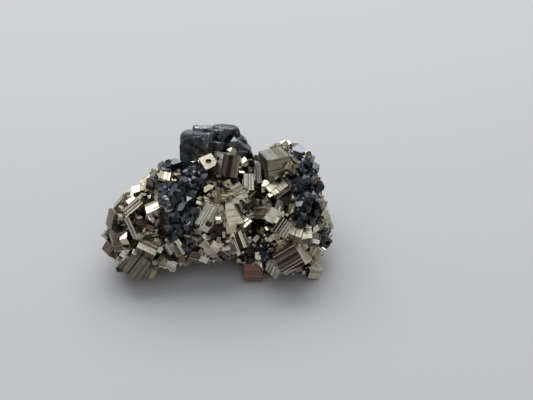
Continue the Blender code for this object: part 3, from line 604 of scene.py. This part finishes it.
def filler_crystals(taken, minerals, rng):
    """Smaller cubes wherever a lobe's surface is still bare."""
    found = []
    for name, (middle, half) in LOBES.items():
        for direction in spiral(FILLERS_TRIED):
            place = Vector([m + h * d for m, h, d in zip(middle, half, direction)])
            edge = rng.uniform(*FILLER_EDGE)
            size = tuple(edge * rng.uniform(0.8, 1.1) for _ in range(3))
            turn = random_turn(rng)
            buried = in_other_lobe(place, name)
            crowded = any((place - c.middle).length < CROWDED[0] * (c.reach + edge / 2) + CROWDED[1]
                          for c in taken + found)
            covered = any((place - m.middle).length < m.reach * COVERED for m in minerals)
            low = place.z < FLOOR_CLEAR or direction.z < UNDERSIDE
            outside = past_outline(place, edge / 2)
            if buried or crowded or covered or low or outside:
                continue
            found.append(Crystal(place, turn, cube_faces(size), size, "filler", "block"))
    return found


def outward(place):
    """Away from the massive pyrite at a place near its surface."""
    middle, half = min(LOBES.values(), key=lambda lobe: depth_in(place, lobe))
    return Vector([(p - m) / h ** 2 for p, m, h in zip(place, middle, half)]).normalized()


def sphalerite_crystal(place, size, rng):
    return Crystal(place, random_turn(rng), tetrahedral_faces(size, rng), (size,) * 3)


def crystals_round(lump, edges, count, rng):
    """Sphalerite crystals standing on the open side of a lump."""
    found = []
    away = outward(lump.middle)
    for direction in spiral(count):
        size = rng.uniform(*edges)
        if direction.dot(away) < OPEN_SIDE:
            continue
        place = lump.middle + direction * (lump.reach - CRYSTAL_SINK * size)
        found.append(sphalerite_crystal(place, size, rng))
    return found


def lump_middle(place, radius):
    """A lump's middle, from its place in the display view or, at the back, in the layout."""
    if len(place) == 3:
        return Vector(place)
    surface, sight = meet_lobes(*place)
    return surface + sight * radius * LUMP_SINK


def sphalerite_groups(rng):
    """Every sphalerite group as {name: its lumps and crystals}."""
    groups = {"sphalerite_crown": []}
    for (across, up, away), size, turn in CROWN:
        groups["sphalerite_crown"].append(
            Crystal(in_depth(across, up, away), in_view(turn), blocky_faces(size, rng), size))
    for name, (lumps, edges, count) in (GROUPS | BACK_GROUPS).items():
        groups[name] = []
        for *place, radius in lumps:
            lump = Lump(lump_middle(place, radius), (radius,) * 3)
            groups[name] += [lump] + crystals_round(lump, edges, count, rng)
    return groups


def cut_away(shape, normal, distance):
    """Cuts off what lies beyond one face and closes the cut."""
    cut = bmesh.ops.bisect_plane(
        shape, geom=shape.verts[:] + shape.edges[:] + shape.faces[:],
        plane_co=normal * distance, plane_no=normal, clear_outer=True)
    edges = [e for e in cut["geom_cut"] if isinstance(e, bmesh.types.BMEdge)]
    if edges:
        bmesh.ops.contextual_create(shape, geom=edges)


def finished(shape, middle, turn):
    """Puts a shape in its place and makes it a mesh."""
    shape.transform(Matrix.Translation(middle) @ turn.to_4x4())
    bmesh.ops.recalc_face_normals(shape, faces=shape.faces[:])
    if shape.calc_volume(signed=True) < 0:
        bmesh.ops.reverse_faces(shape, faces=shape.faces[:])
    mesh = bpy.data.meshes.new("solid")
    shape.to_mesh(mesh)
    shape.free()
    return mesh


def combine(first, others, operation):
    """One mesh from a Boolean of first with the other meshes."""
    holder = bpy.data.collections.new("operands")
    for mesh in others:
        holder.objects.link(bpy.data.objects.new("operand", mesh))
    bpy.context.scene.collection.children.link(holder)
    obj = bpy.data.objects.new("base", first)
    bpy.context.scene.collection.objects.link(obj)
    modifier = obj.modifiers.new("Boolean", "BOOLEAN")
    modifier.operation = operation
    modifier.solver = "MANIFOLD"
    modifier.operand_type = "COLLECTION"
    modifier.collection = holder
    graph = bpy.context.evaluated_depsgraph_get()
    made = bpy.data.meshes.new_from_object(obj.evaluated_get(graph))
    for helper in list(holder.objects) + [obj]:
        bpy.data.objects.remove(helper)
    bpy.data.collections.remove(holder)
    for mesh in [first] + others:
        bpy.data.meshes.remove(mesh)
    return made


def largest_body(mesh):
    """Drops what a mesh has apart from its largest body, so that nothing hangs in the air."""
    shape = bmesh.new()
    shape.from_mesh(mesh)
    unseen, keep = set(shape.verts), set()
    while unseen:
        body, edge = set(), [unseen.pop()]
        while edge:
            vert = edge.pop()
            body.add(vert)
            near = {e.other_vert(vert) for e in vert.link_edges} & unseen
            unseen -= near
            edge += near
        keep = max(keep, body, key=len)
    bmesh.ops.delete(shape, geom=[v for v in shape.verts if v not in keep], context="VERTS")
    shape.to_mesh(mesh)
    shape.free()


def mark(shape, shade_of, along_of, offset):
    """Gives each face its shade, and coordinates along and across its growth lines."""
    lines = shape.loops.layers.uv.new("Lines")
    shade = shape.faces.layers.float_vector.new("shade")
    for face in shape.faces:
        face[shade] = shade_of(face)
        along, across = along_of(face)
        for loop in face.loops:
            place = loop.vert.co
            loop[lines].uv = (place.dot(along) + offset, place.dot(across) + offset)


def growth_profile(half, count, depth, contrast, shades, rng):
    """A face across its growth lines, ledge after ledge, as (place, depth, shade to there)."""
    spacing = 2 * half / (count + 1)
    points = [(-PROFILE_SPARE * half, depth * rng.uniform(0, 0.4), shades[0])]
    for i in range(count + 1):
        level = points[-1][1]
        if i < count:
            place = -half + spacing * (i + 1 + rng.uniform(-LINE_STRAY, LINE_STRAY))
        else:
            place = PROFILE_SPARE * half
        ledge = shades[i * len(shades) // (count + 1)] * rng.uniform(*LINE_TONES)
        riser = min(spacing * rng.uniform(*RISER_SHARE), RISER_WIDTH) if i < count else 0
        points.append((place - riser, level, ledge))
        if i < count:
            level = depth * (0.5 * (i % 2) + rng.uniform(0, 0.5))
            # The riser takes a painted highlight or painted shade, by chance.
            edge = Vector(CREAM) if rng.random() < PAINTED_HIGHLIGHT_SHARE else Vector(PAINTED_SHADE)
            points.append((place + riser, level, ledge.lerp(edge, contrast)))
    return points


def lined_prism(crystal, axis, lines, depth, contrast, shades, offset, rng):
    """A long prism whose two faces along one axis carry growth lines."""
    size = crystal.size
    order = 2 if crystal.form == "upright" else 1
    across_axis = (axis + order) % 3
    along_axis = 3 - axis - across_axis
    half, half_across = size[axis] / 2, size[across_axis] / 2
    profiles = {high: growth_profile(half_across, lines, depth, contrast, shades[axis, high], rng)
                for high in (False, True)}
    outline = [(t, half - h) for t, h, _ in profiles[True]]
    outline += [(t, h - half) for t, h, _ in profiles[False][::-1]]
    shape = bmesh.new()
    ring = []
    for t, h in outline:
        point = Vector((0, 0, 0))
        point[across_axis], point[axis] = t, h
        point[along_axis] = -PRISM_SPARE / 2 * size[along_axis]
        ring.append(shape.verts.new(point))
    face = shape.faces.new(ring)
    grown = bmesh.ops.extrude_face_region(shape, geom=[face])
    moved = [v for v in grown["geom"] if isinstance(v, bmesh.types.BMVert)]
    bmesh.ops.translate(shape, verts=moved, vec=AXES[along_axis] * PRISM_SPARE * size[along_axis])

    def shade_of(face):
        middle = face.calc_center_median()
        profile = profiles[middle[axis] > 0]
        return next((shade for t, _, shade in profile[1:] if middle[across_axis] <= t),
                    profile[-1][2])

    directions = (AXES[along_axis], AXES[across_axis])
    mark(shape, shade_of, lambda f: directions, offset)
    return finished(shape, crystal.middle, crystal.turn)


def flat_solid(crystal, shade_of, offset):
    """A crystal with flat faces."""
    shape = bmesh.new()
    bmesh.ops.create_cube(shape, size=4 * crystal.reach)
    for normal, distance in crystal.faces:
        cut_away(shape, normal, distance)

    def along_of(face):
        axis = min(range(3), key=lambda i: abs(face.normal[i]))
        across = face.normal.cross(AXES[axis]).normalized()
        return across.cross(face.normal), across

    shape.normal_update()
    mark(shape, shade_of, along_of, offset)
    return finished(shape, crystal.middle, crystal.turn)


def pick_shades(crystal, rng, common=COMMON):
    """Shades across each face of a cube: the photograph's where it shows them, as painted light and shade,
    else by chance.
    """
    names, weights = zip(*common)
    usual = rng.choices(names, weights)[0]
    shades = {}
    for axis in range(3):
        for high in (False, True):
            shade = usual if rng.random() < 0.5 else rng.choices(names, weights)[0]
            shades[axis, high] = [Vector(shade) * rng.uniform(0.75, 1.1)]
            if crystal.name in SHADES:
                normal = crystal.turn @ AXES[axis] * (1 if high else -1)
                facing = [-normal.dot(VIEW_AWAY), normal.dot(VIEW_UP), abs(normal.dot(VIEW_RIGHT))]
                seen = SHADES[crystal.name][facing.index(max(facing))]
                seen = seen if isinstance(seen, list) else [seen]
                shades[axis, high] = [Vector(shade) for shade in seen]
    return shades


def lined_crystal(crystal, lines, depth, contrast, rng):
    """A pyrite crystal with growth lines on every face, each pair of faces its own way."""
    shades = pick_shades(crystal, rng)
    offset = rng.uniform(0, UV_SPREAD)
    prisms = [lined_prism(crystal, axis, lines, depth, contrast, shades, offset, rng)
              for axis in range(3)]
    for (right, away, up), distance in CUTS.get(crystal.name, []):
        direction = VIEW_RIGHT * right + VIEW_AWAY * away + VIEW_UP * up
        crystal.faces.append((crystal.turn.transposed() @ direction.normalized(), distance))
    if crystal.form == "pyritohedron" or crystal.name in CUTS:
        tone = shades[2, True][0]
        prisms.append(flat_solid(crystal, lambda f: tone, offset))
    return combine(prisms[0], prisms[1:], "INTERSECT")


def offshoots(crystal, rng):
    """Blocks grown with a main crystal, standing a little proud of its faces and edges."""
    for _ in range(OFFSHOOTS):
        share = rng.uniform(*OFFSHOOT_SHARE)
        size = tuple(s * share * rng.uniform(0.8, 1.15) for s in crystal.size)
        corner = rng.choice(CORNERS)
        proud = rng.uniform(*OFFSHOOT_PROUD)
        offset = Vector([c * (s / 2 - b / 2) + c * proud * rng.uniform(0.2, 1)
                         for c, s, b in zip(corner, crystal.size, size)])
        if crystal.name in PLAIN_FRONT and (crystal.turn @ offset).dot(VIEW_AWAY) < 0.2:
            continue
        angles = [math.radians(rng.uniform(-OFFSHOOT_LEAN, OFFSHOOT_LEAN)) for _ in range(3)]
        lean = Euler(angles).to_matrix()
        yield Crystal(crystal.middle + crystal.turn @ offset, crystal.turn @ lean,
                      cube_faces(size), size, crystal.name, crystal.form)


def chipped_faces(size, chips, rng):
    """A block's faces and a few uneven cuts across its corners."""
    faces = cube_faces(size)
    for _ in range(chips):
        lean = stray(CHIP_LEAN, rng)
        normal = (rng.choice(CORNERS) + lean).normalized()
        reach = sum(abs(n) * s / 2 for n, s in zip(normal, size))
        faces.append((normal, reach * rng.uniform(*CHIP_DEPTH)))
    return faces


def small_cube(place, turn, size, rng):
    crystal = Crystal(place, turn, chipped_faces(size, rng.choice(CHIPS), rng), size)
    shades = pick_shades(crystal, rng, SMALL_COMMON)

    def shade_of(face):
        axis = max(range(3), key=lambda i: abs(face.normal[i]))
        return shades[axis, face.normal[axis] > 0][0]

    return flat_solid(crystal, shade_of, rng.uniform(0, UV_SPREAD))


def massive_lobe(middle, half, rng):
    """The rough pyrite that the crystals stand on, painted near black: painted shade in the gaps between
    the crystals.
    """
    shape = bmesh.new()
    bmesh.ops.create_icosphere(shape, subdivisions=4, radius=1)
    for vert in shape.verts:
        place = Vector([h * c for h, c in zip(half, vert.co)])
        rough = noise.noise(place * LOBE_ROUGH[0] + Vector(middle)) * LOBE_ROUGH[1]
        vert.co = place * 0.95 + vert.co * rough
    mark(shape, lambda f: Vector(PAINTED_SHADE) * rng.uniform(0.4, 1.2),
         lambda f: NO_LINES, rng.uniform(0, UV_SPREAD))
    return finished(shape, Vector(middle), Matrix.Identity(3))


def small_cubes(taken, minerals, rng):
    """The many little cubes between the larger ones, some parallel to their neighbour."""
    low, high = (corner / MM + FOOTPRINT_MIDDLE for corner in CAD_BOX)
    found = []
    for name, (middle, half) in LOBES.items():
        for direction in spiral(SMALL_TRIED):
            jitter = stray(SMALL_JITTER, rng)
            direction = (direction + jitter).normalized()
            edge = SMALL_EDGE[0] + (SMALL_EDGE[1] - SMALL_EDGE[0]) * rng.random() ** 2
            size = [edge * rng.uniform(0.7, 1.2) for _ in range(3)]
            size[rng.randrange(3)] *= rng.uniform(0.35, 1)
            place = Vector([m + h * d for m, h, d in zip(middle, half, direction)])
            place += direction * edge * rng.uniform(*SMALL_LIFT)
            neighbour = min(taken, key=lambda c: (place - c.middle).length - c.reach)
            turn = random_turn(rng)
            if rng.random() < SMALL_PARALLEL:
                turn = neighbour.turn @ Euler(stray(SMALL_LEAN, rng)).to_matrix()
            buried = in_other_lobe(place, name)
            crowded = (place - neighbour.middle).length < SMALL_CROWDED[0] * neighbour.reach
            close = any((place - p).length < SMALL_CROWDED[1] * (edge + e) for p, e in found)
            covered = any((place - m.middle).length < m.reach for m in minerals)
            reach = edge * SMALL_REACH + GAP_TO_BOX
            outside = any(place[i] - reach < low[i] or place[i] + reach > high[i]
                          for i in range(3))
            if buried or crowded or close or covered or outside:
                continue
            found.append((place, edge))
            yield small_cube(place, turn, tuple(size), rng)


def rough_lump(lump, rng):
    """Massive sphalerite with an uneven surface."""
    shape = bmesh.new()
    bmesh.ops.create_icosphere(shape, subdivisions=3, radius=1)
    for vert in shape.verts:
        place = Vector([h * c for h, c in zip(lump.half_sizes, vert.co)])
        vert.co = place * (0.86 + 0.16 * noise.cell(place * 0.8 + lump.middle))
    mark(shape, lambda f: Vector((1, 1, 1)) * rng.uniform(0.6, 1.2),
         lambda f: NO_LINES, 0)
    return finished(shape, lump.middle, Matrix.Identity(3))


def in_display(place):
    """Where a place shows from the display side, as across and up."""
    offset = place - VIEW_MIDDLE
    scale = EYE_DISTANCE / (EYE_DISTANCE + offset.dot(VIEW_AWAY))
    return EYE_ACROSS + (offset.x - EYE_ACROSS) * scale, offset.dot(VIEW_UP) * scale


def takes_painted_gleam(crystal, face):
    """Whether a sphalerite face takes a painted gleam: it lies where a gleam shows and faces the display
    side.
    """
    across, up = in_display(crystal.middle + crystal.turn @ face.calc_center_median())
    facing = (crystal.turn @ face.normal).dot(VIEW_AWAY) < -PAINTED_GLEAM_FACING
    return facing and any(((across - a) / width) ** 2 + ((up - u) / height) ** 2 < 1
                          for a, u, width, height in PAINTED_GLEAMS)


def rounded_solid(crystal, bluntness, shades, rng):
    """A large sphalerite crystal with blunt edges and uneven faces, each with its own given shade or a
    painted gleam.
    """
    shape = bmesh.new()
    bmesh.ops.create_icosphere(shape, subdivisions=5, radius=1)
    shift = stray(NOISE_SHIFT, rng)
    for vert in shape.verts:
        near = sum((max(0.0, vert.co.dot(normal)) / distance) ** bluntness
                   for normal, distance in crystal.faces) ** (-1 / bluntness)
        place = vert.co * near
        swell = noise.noise(place * 0.55 + shift)
        fine = noise.noise(Vector((place.x * 0.9, place.y * 1.8, place.z * 2.2)) + shift)
        vert.co = place + vert.co * (CROWN_SWELL[0] * swell + CROWN_SWELL[1] * fine)

    def shade_of(face):
        # A painted gleam where one shows.
        if takes_painted_gleam(crystal, face):
            return PAINTED_GLEAM_SHADE
        middle = face.calc_center_median()
        nearest = max(range(len(crystal.faces)),
                      key=lambda i: middle.dot(crystal.faces[i][0]) / crystal.faces[i][1])
        return Vector((1, 1, 1)) * shades[nearest]

    shape.normal_update()
    mark(shape, shade_of, lambda f: NO_LINES, 0)
    return finished(shape, crystal.middle, crystal.turn)


def sphalerite_solid(member, rng):
    if isinstance(member, Lump):
        return rough_lump(member, rng)

    def shade_of(face):
        shade = rng.choice(SPHALERITE_SHADES) * rng.uniform(0.7, 1.3)
        # A painted gleam where one shows, else a tone by chance.
        return PAINTED_GLEAM_SHADE if takes_painted_gleam(member, face) else Vector((1, 1, 1)) * shade

    return flat_solid(member, shade_of, 0)


def overgrowth(members, edges, tries, rng):
    """Small sphalerite crystals on the faces of larger ones."""
    for member in members:
        for direction in spiral(tries):
            size = rng.uniform(*edges)
            place = member.middle + direction * member.reach * rng.uniform(0.75, 1.0)
            grown = sphalerite_crystal(place, size, rng)
            if not past_outline(place, size / 2):
                yield grown


def parallel_growth(crystal, count, rng):
    """Low ledges on a large crystal's faces, turned nearly as it is."""
    for _ in range(count):
        axis, sign = rng.randrange(3), rng.choice((-1, 1))
        block = tuple(s * rng.uniform(*LEDGE_SHARE) for s in crystal.size)
        offset = Vector([rng.uniform(-0.5, 0.5) * (c - 0.7 * b) for c, b in zip(crystal.size, block)])
        offset[axis] = sign * (crystal.size[axis] / 2 - block[axis] / 2 + rng.uniform(*LEDGE_PROUD))
        turn = crystal.turn @ Euler(stray(LEDGE_LEAN, rng)).to_matrix()
        yield Crystal(crystal.middle + crystal.turn @ offset, turn, blocky_faces(block, rng), block)


def add_object(name, data):
    obj = bpy.data.objects.new(name, data)
    bpy.context.scene.collection.objects.link(obj)
    return obj


def place_piece(name, mesh, finish, nodes):
    """Makes a mesh in layout millimetres a piece of the object."""
    largest_body(mesh)
    mesh.transform(Matrix.Scale(MM, 4) @ Matrix.Translation(-FOOTPRINT_MIDDLE))
    mesh.name = name
    mesh.materials.clear()
    mesh.materials.append(finish)
    obj = add_object(name, mesh)
    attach(obj, "root")
    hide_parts(*nodes)


class Graph:
    """Short ways to add nodes to a material or a world."""

    def __init__(self, owner):
        owner.use_nodes = True
        self.tree = owner.node_tree

    def node(self, kind, **settings):
        made = self.tree.nodes.new(kind)
        for key, value in settings.items():
            setattr(made, key, value)
        return made

    def link(self, start, end):
        self.tree.links.new(start, end)

    def math(self, operation, *values, kind="ShaderNodeMath"):
        made = self.node(kind, operation=operation)
        for socket, value in zip(made.inputs, values):
            self.feed(socket, value)
        return made.outputs[0]

    def vector_math(self, operation, *values):
        return self.math(operation, *values, kind="ShaderNodeVectorMath")

    def put(self, node, inputs):
        for name, value in inputs.items():
            self.feed(node.inputs[name], value)

    def bump(self, shader, height, strength, distance):
        """Gives a shader bumps of a height, with their distance in metres."""
        made = self.node("ShaderNodeBump")
        self.put(made, {"Strength": strength, "Distance": distance, "Height": height})
        self.link(made.outputs["Normal"], shader.inputs["Normal"])

    def feed(self, socket, value):
        if isinstance(value, bpy.types.NodeSocket):
            self.link(value, socket)
        else:
            socket.default_value = value

    def noise(self, vector, scale, detail=2.0, roughness=0.5):
        made = self.node("ShaderNodeTexNoise")
        self.put(made, {"Vector": vector, "Scale": scale, "Detail": detail, "Roughness": roughness})
        return made.outputs["Fac"]

    def ramp(self, value, low, high, start, end):
        made = self.node("ShaderNodeMapRange")
        self.put(made, {"Value": value, "From Min": low, "From Max": high, "To Min": start,
                        "To Max": end})
        return made.outputs["Result"]

    def mix(self, share, first, second, blend="MIX"):
        made = self.node("ShaderNodeMix", data_type="RGBA", blend_type=blend)
        self.put(made, {"Factor": share, "A": first, "B": second})
        return [o for o in made.outputs if o.type == "RGBA"][0]


def pyrite_material():
    """Brassy metal with fine lines across every face and thin patches of tarnish."""
    made = bpy.data.materials.new("pyrite")
    g = Graph(made)
    shader = g.tree.nodes["Principled BSDF"]

    lines = g.node("ShaderNodeUVMap", uv_map="Lines").outputs["UV"]
    place = g.node("ShaderNodeTexCoord").outputs["Object"]
    shade = g.node("ShaderNodeAttribute", attribute_name="shade").outputs["Vector"]

    broad = g.noise(g.vector_math("MULTIPLY", lines, (0.12, 3.2, 0)), 1.0, 3.0, 0.6)
    fine = g.noise(g.vector_math("MULTIPLY", lines, (0.35, 11.0, 0)), 1.0, 2.0, 0.6)
    patches = g.noise(place, 420.0, 3.0, 0.6)
    pits = g.noise(place, 2600.0, 2.0, 0.5)

    # The shade attribute carries the faces' own and tarnish colours and their painted light and shade.
    banded = g.mix(g.ramp(broad, 0.45, 0.65, 0.0, 0.40), shade, (0.05, 0.04, 0.025, 1))
    tarnished = g.mix(g.ramp(patches, 0.52, 0.74, 0.0, 0.45), banded, (0.17, 0.11, 0.075, 1))
    rough = g.math("ADD", g.ramp(patches, 0.3, 0.7, 0.16, 0.34), g.ramp(fine, 0.3, 0.7, 0.0, 0.10))
    g.put(shader, {"Metallic": 1.0, "Base Color": tarnished, "Roughness": rough})

    height = g.math("ADD", g.math("MULTIPLY", broad, 0.8), g.math("MULTIPLY", fine, 0.35))
    height = g.math("ADD", height, g.math("MULTIPLY", pits, 0.25))
    g.bump(shader, height, 0.55, 0.00005)
    return made


def sphalerite_material():
    """Near-black resinous mineral: glossy, with faintly uneven faces."""
    made = bpy.data.materials.new("sphalerite")
    g = Graph(made)
    shader = g.tree.nodes["Principled BSDF"]
    place = g.node("ShaderNodeTexCoord").outputs["Object"]
    shade = g.node("ShaderNodeAttribute", attribute_name="shade").outputs["Vector"]

    cloudy = g.noise(place, 350.0, 3.0, 0.55)
    grain = g.noise(place, 1900.0, 3.0, 0.6)
    black = g.mix(g.ramp(cloudy, 0.4, 0.7, 0.0, 1.0), (0.006, 0.006, 0.008, 1),
                  (0.022, 0.022, 0.028, 1))
    # The shade attribute scales colour and gloss: a tone by chance, the crown's painted light and shade,
    # and painted gleams.
    g.put(shader, {
        "IOR": 2.2, "Specular Tint": (0.86, 0.92, 1.0, 1),
        "Base Color": g.vector_math("MULTIPLY", black, shade),
        "Roughness": g.ramp(cloudy, 0.3, 0.7, 0.10, 0.32),
        "Specular IOR Level": g.ramp(shade, 0.0, 1.5, 0.10, 0.76)})
    g.bump(shader, g.math("ADD", cloudy, g.math("MULTIPLY", grain, 0.15)), 0.5, 0.00012)
    return made


def floor_material():
    made = bpy.data.materials.new("floor")
    g = Graph(made)
    g.put(g.tree.nodes["Principled BSDF"], {
        "Base Color": (0.545, 0.548, 0.555, 1), "Roughness": 0.7, "Specular IOR Level": 0.2})
    return made


def face_point(crystal, axis, sign, first, second):
    """A place on a crystal's face, by shares of the face's two half sizes."""
    point = Vector((0, 0, 0))
    point[axis] = sign * crystal.size[axis] / 2
    others = [i for i in range(3) if i != axis]
    point[others[0]] = first * crystal.size[others[0]] / 2
    point[others[1]] = second * crystal.size[others[1]] / 2
    return crystal.middle + crystal.turn @ point


def pit_cutter(crystal, axis, sign, first, second, radius, depth):
    """A six-sided pit in a crystal's face, its walls painted near black: painted shade in the hollow."""
    shape = bmesh.new()
    bmesh.ops.create_cone(shape, cap_ends=True, segments=6, radius1=radius, radius2=radius,
                          depth=2 * depth)
    mark(shape, lambda f: Vector(PAINTED_SHADE), lambda f: (AXES[0], AXES[1]), 0)
    aim = AXES[axis].to_track_quat("Z", "Y").to_matrix()
    return finished(shape, face_point(crystal, axis, sign, first, second), crystal.turn @ aim)


def flake_crystals(rng):
    """Single bright grains that the photograph shows, lifted towards the display side."""
    for across, up, lift, size, turn, shade in FLAKES:
        surface, sight = meet_lobes(across, up)
        yield (Crystal(surface - sight * lift, in_view(turn), chipped_faces(size, FLAKE_CHIPS, rng), size),
               Vector(shade) * rng.uniform(*FLAKE_SHADE))


def build_pyrite(mains, fillers, minerals, rng):
    solids = [massive_lobe(middle, half, rng) for middle, half in LOBES.values()]
    for crystal in mains:
        usual = (round(LINES_A_MM * crystal.size[0]) + 1, LINE_DEPTH, LINE_CONTRAST)
        lines, depth, contrast = LINES.get(crystal.name, usual)
        body = lined_crystal(crystal, lines, depth, contrast, rng)
        if crystal.name in PITS:
            body = combine(body, [pit_cutter(crystal, *PITS[crystal.name])], "DIFFERENCE")
        solids.append(body)
        solids += [lined_crystal(c, max(2, lines * 2 // 3), depth, contrast, rng)
                   for c in offshoots(crystal, rng)]
    for crystal in fillers:
        solids.append(lined_crystal(crystal, round(LINES_A_MM * crystal.size[0]), LINE_DEPTH,
                                    LINE_CONTRAST, rng))
    for crystal, shade in flake_crystals(rng):
        solids.append(flat_solid(crystal, lambda f: shade, rng.uniform(0, UV_SPREAD)))
    solids += list(small_cubes(mains + fillers, minerals, rng))
    return united(solids)


def under_floor():
    shape = bmesh.new()
    bmesh.ops.create_cube(shape, size=100)
    mark(shape, lambda f: Vector(BROWN), lambda f: (AXES[0], AXES[1]), 0)
    return finished(shape, Vector((0, 0, -50)), Matrix.Identity(3))


def united(solids):
    """One mesh of all the solids, cut level with the floor."""
    return combine(combine(solids[0], solids[1:], "UNION"), [under_floor()], "DIFFERENCE")


def build_sphalerite(name, members, rng):
    extra = []
    if name == "sphalerite_crown":
        members = members + [Crystal(in_depth(*place), in_view(turn), blocky_faces(size, rng), size)
                             for place, size, turn in CROWN_FINE]
        shades = [[rng.uniform(*CROWN_SHADE) for _ in m.faces] for m in members]
        # The first block's faces take painted shade, and its bevels painted light and shade.
        shades[0] = [CROWN_FRONT_PAINTED_SHADE] * len(members[0].faces)
        for direction, share, shade in CROWN_BEVELS:
            reach = sum(abs(d) * s / 2 for d, s in zip(direction, members[0].size))
            members[0].faces.append((Vector(direction).normalized(),
                                     share * reach / Vector(direction).length))
            shades[0].append(shade)
        for crystal in members[1:]:
            extra += list(parallel_growth(crystal, CROWN_LEDGES, rng))
        solids = [rounded_solid(*row, rng) for row in zip(members, CROWN_BLUNTNESS, shades)]
    else:
        extra += list(overgrowth(members, OVERGROWTH_EDGES, OVERGROWTH_TRIED, rng))
        solids = [sphalerite_solid(m, rng) for m in members]
    solids += [sphalerite_solid(m, rng) for m in extra]
    # The prism that carries a painted gleam.
    group, across, up, lift, size, turn = PAINTED_GLEAM_PRISM
    if group == name:
        surface, sight = meet_lobes(across, up)
        prism = Crystal(surface - sight * lift, in_view(turn), cube_faces(size), size)
        solids.append(sphalerite_solid(prism, rng))
    return united(solids)


def build_object():
    layout = random.Random(SEED)
    mains = main_crystals()
    groups = sphalerite_groups(layout)
    minerals = [m for members in groups.values() for m in members]
    fillers = filler_crystals(mains, minerals, layout)
    rng = random.Random(SEED + 1)
    brass = pyrite_material()
    place_piece("pyrite_crystals", build_pyrite(mains, fillers, minerals, rng), brass,
                ["pyrite"])
    black = sphalerite_material()
    for name, members in groups.items():
        place_piece(name + "_crystals", build_sphalerite(name, members, rng), black,
                    [name])


def build_floor():
    shape = bmesh.new()
    bmesh.ops.create_grid(shape, x_segments=1, y_segments=1, size=1.5)
    mesh = bpy.data.meshes.new("floor")
    shape.to_mesh(mesh)
    shape.free()
    mesh.materials.append(floor_material())
    add_object("floor", mesh)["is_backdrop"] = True


def area_light(name, place, size, power, colour):
    """A softbox at a place in metres, turned to the object."""
    light = bpy.data.lights.new(name, "AREA")
    light.shape = "RECTANGLE"
    light.size, light.size_y = size
    light.energy = power
    light.color = colour
    obj = add_object(name, light)
    obj.location = place
    aim = Vector((0, 0, 0.012)) - Vector(place)
    obj.rotation_euler = aim.to_track_quat("-Z", "Y").to_euler()


CARD_DIRECTION = (0.32, -0.84, 0.44)


def build_light():
    """A softbox high behind, a pale room, a darker side towards the viewer, and a card in it."""
    area_light("softbox_high", (-0.04, 0.36, 0.50), (0.9, 0.5), 3.7, (1.0, 0.99, 0.97))
    world = bpy.data.worlds.new("room")
    bpy.context.scene.world = world
    g = Graph(world)
    background = g.tree.nodes["Background"]
    direction = g.node("ShaderNodeTexCoord").outputs["Generated"]
    split = g.node("ShaderNodeSeparateXYZ")
    g.link(direction, split.inputs[0])
    high = g.ramp(split.outputs["Z"], 0.28, 0.88, 0.0, 1.0)
    behind = g.ramp(split.outputs["Y"], -0.45, 0.35, 0.0, 1.0)
    share = g.math("MAXIMUM", high, behind)
    patches = g.ramp(g.noise(direction, 3.2, 2.0, 0.5), 0.35, 0.65, 0.5, 1.5)
    room = g.mix(share, (0.09, 0.082, 0.078, 1), (0.54, 0.56, 0.61, 1))
    card = g.node("ShaderNodeVectorMath", operation="DOT_PRODUCT")
    g.link(direction, card.inputs[0])
    card.inputs[1].default_value = CARD_DIRECTION
    lit = g.mix(g.ramp(card.outputs["Value"], 0.86, 0.97, 0.0, 1.0), room, (0.52, 0.51, 0.48, 1))
    g.link(g.vector_math("MULTIPLY", lit, patches), background.inputs["Color"])
    background.inputs["Strength"].default_value = 1.0


def build_camera():
    data = bpy.data.cameras.new("camera")
    data.sensor_width = SENSOR
    data.lens = SENSOR * EYE_DISTANCE / (IMAGE_WIDTH / PIXELS_PER_MM)
    data.clip_start = 0.01
    camera = add_object("camera", data)
    facing = Matrix((VIEW_RIGHT, VIEW_UP, -VIEW_AWAY)).transposed()
    camera.matrix_world = Matrix.Translation((EYE - FOOTPRINT_MIDDLE) * MM) @ facing.to_4x4()
    bpy.context.scene.camera = camera


def write_sizes():
    boxes = {"cad": CAD_BOX, "visual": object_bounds()}
    {k: [list(corner) for corner in box] for k, box in boxes.items()}


build_object()
build_floor()
build_light()
build_camera()
bpy.context.scene.view_settings.view_transform = "Standard"
write_sizes()
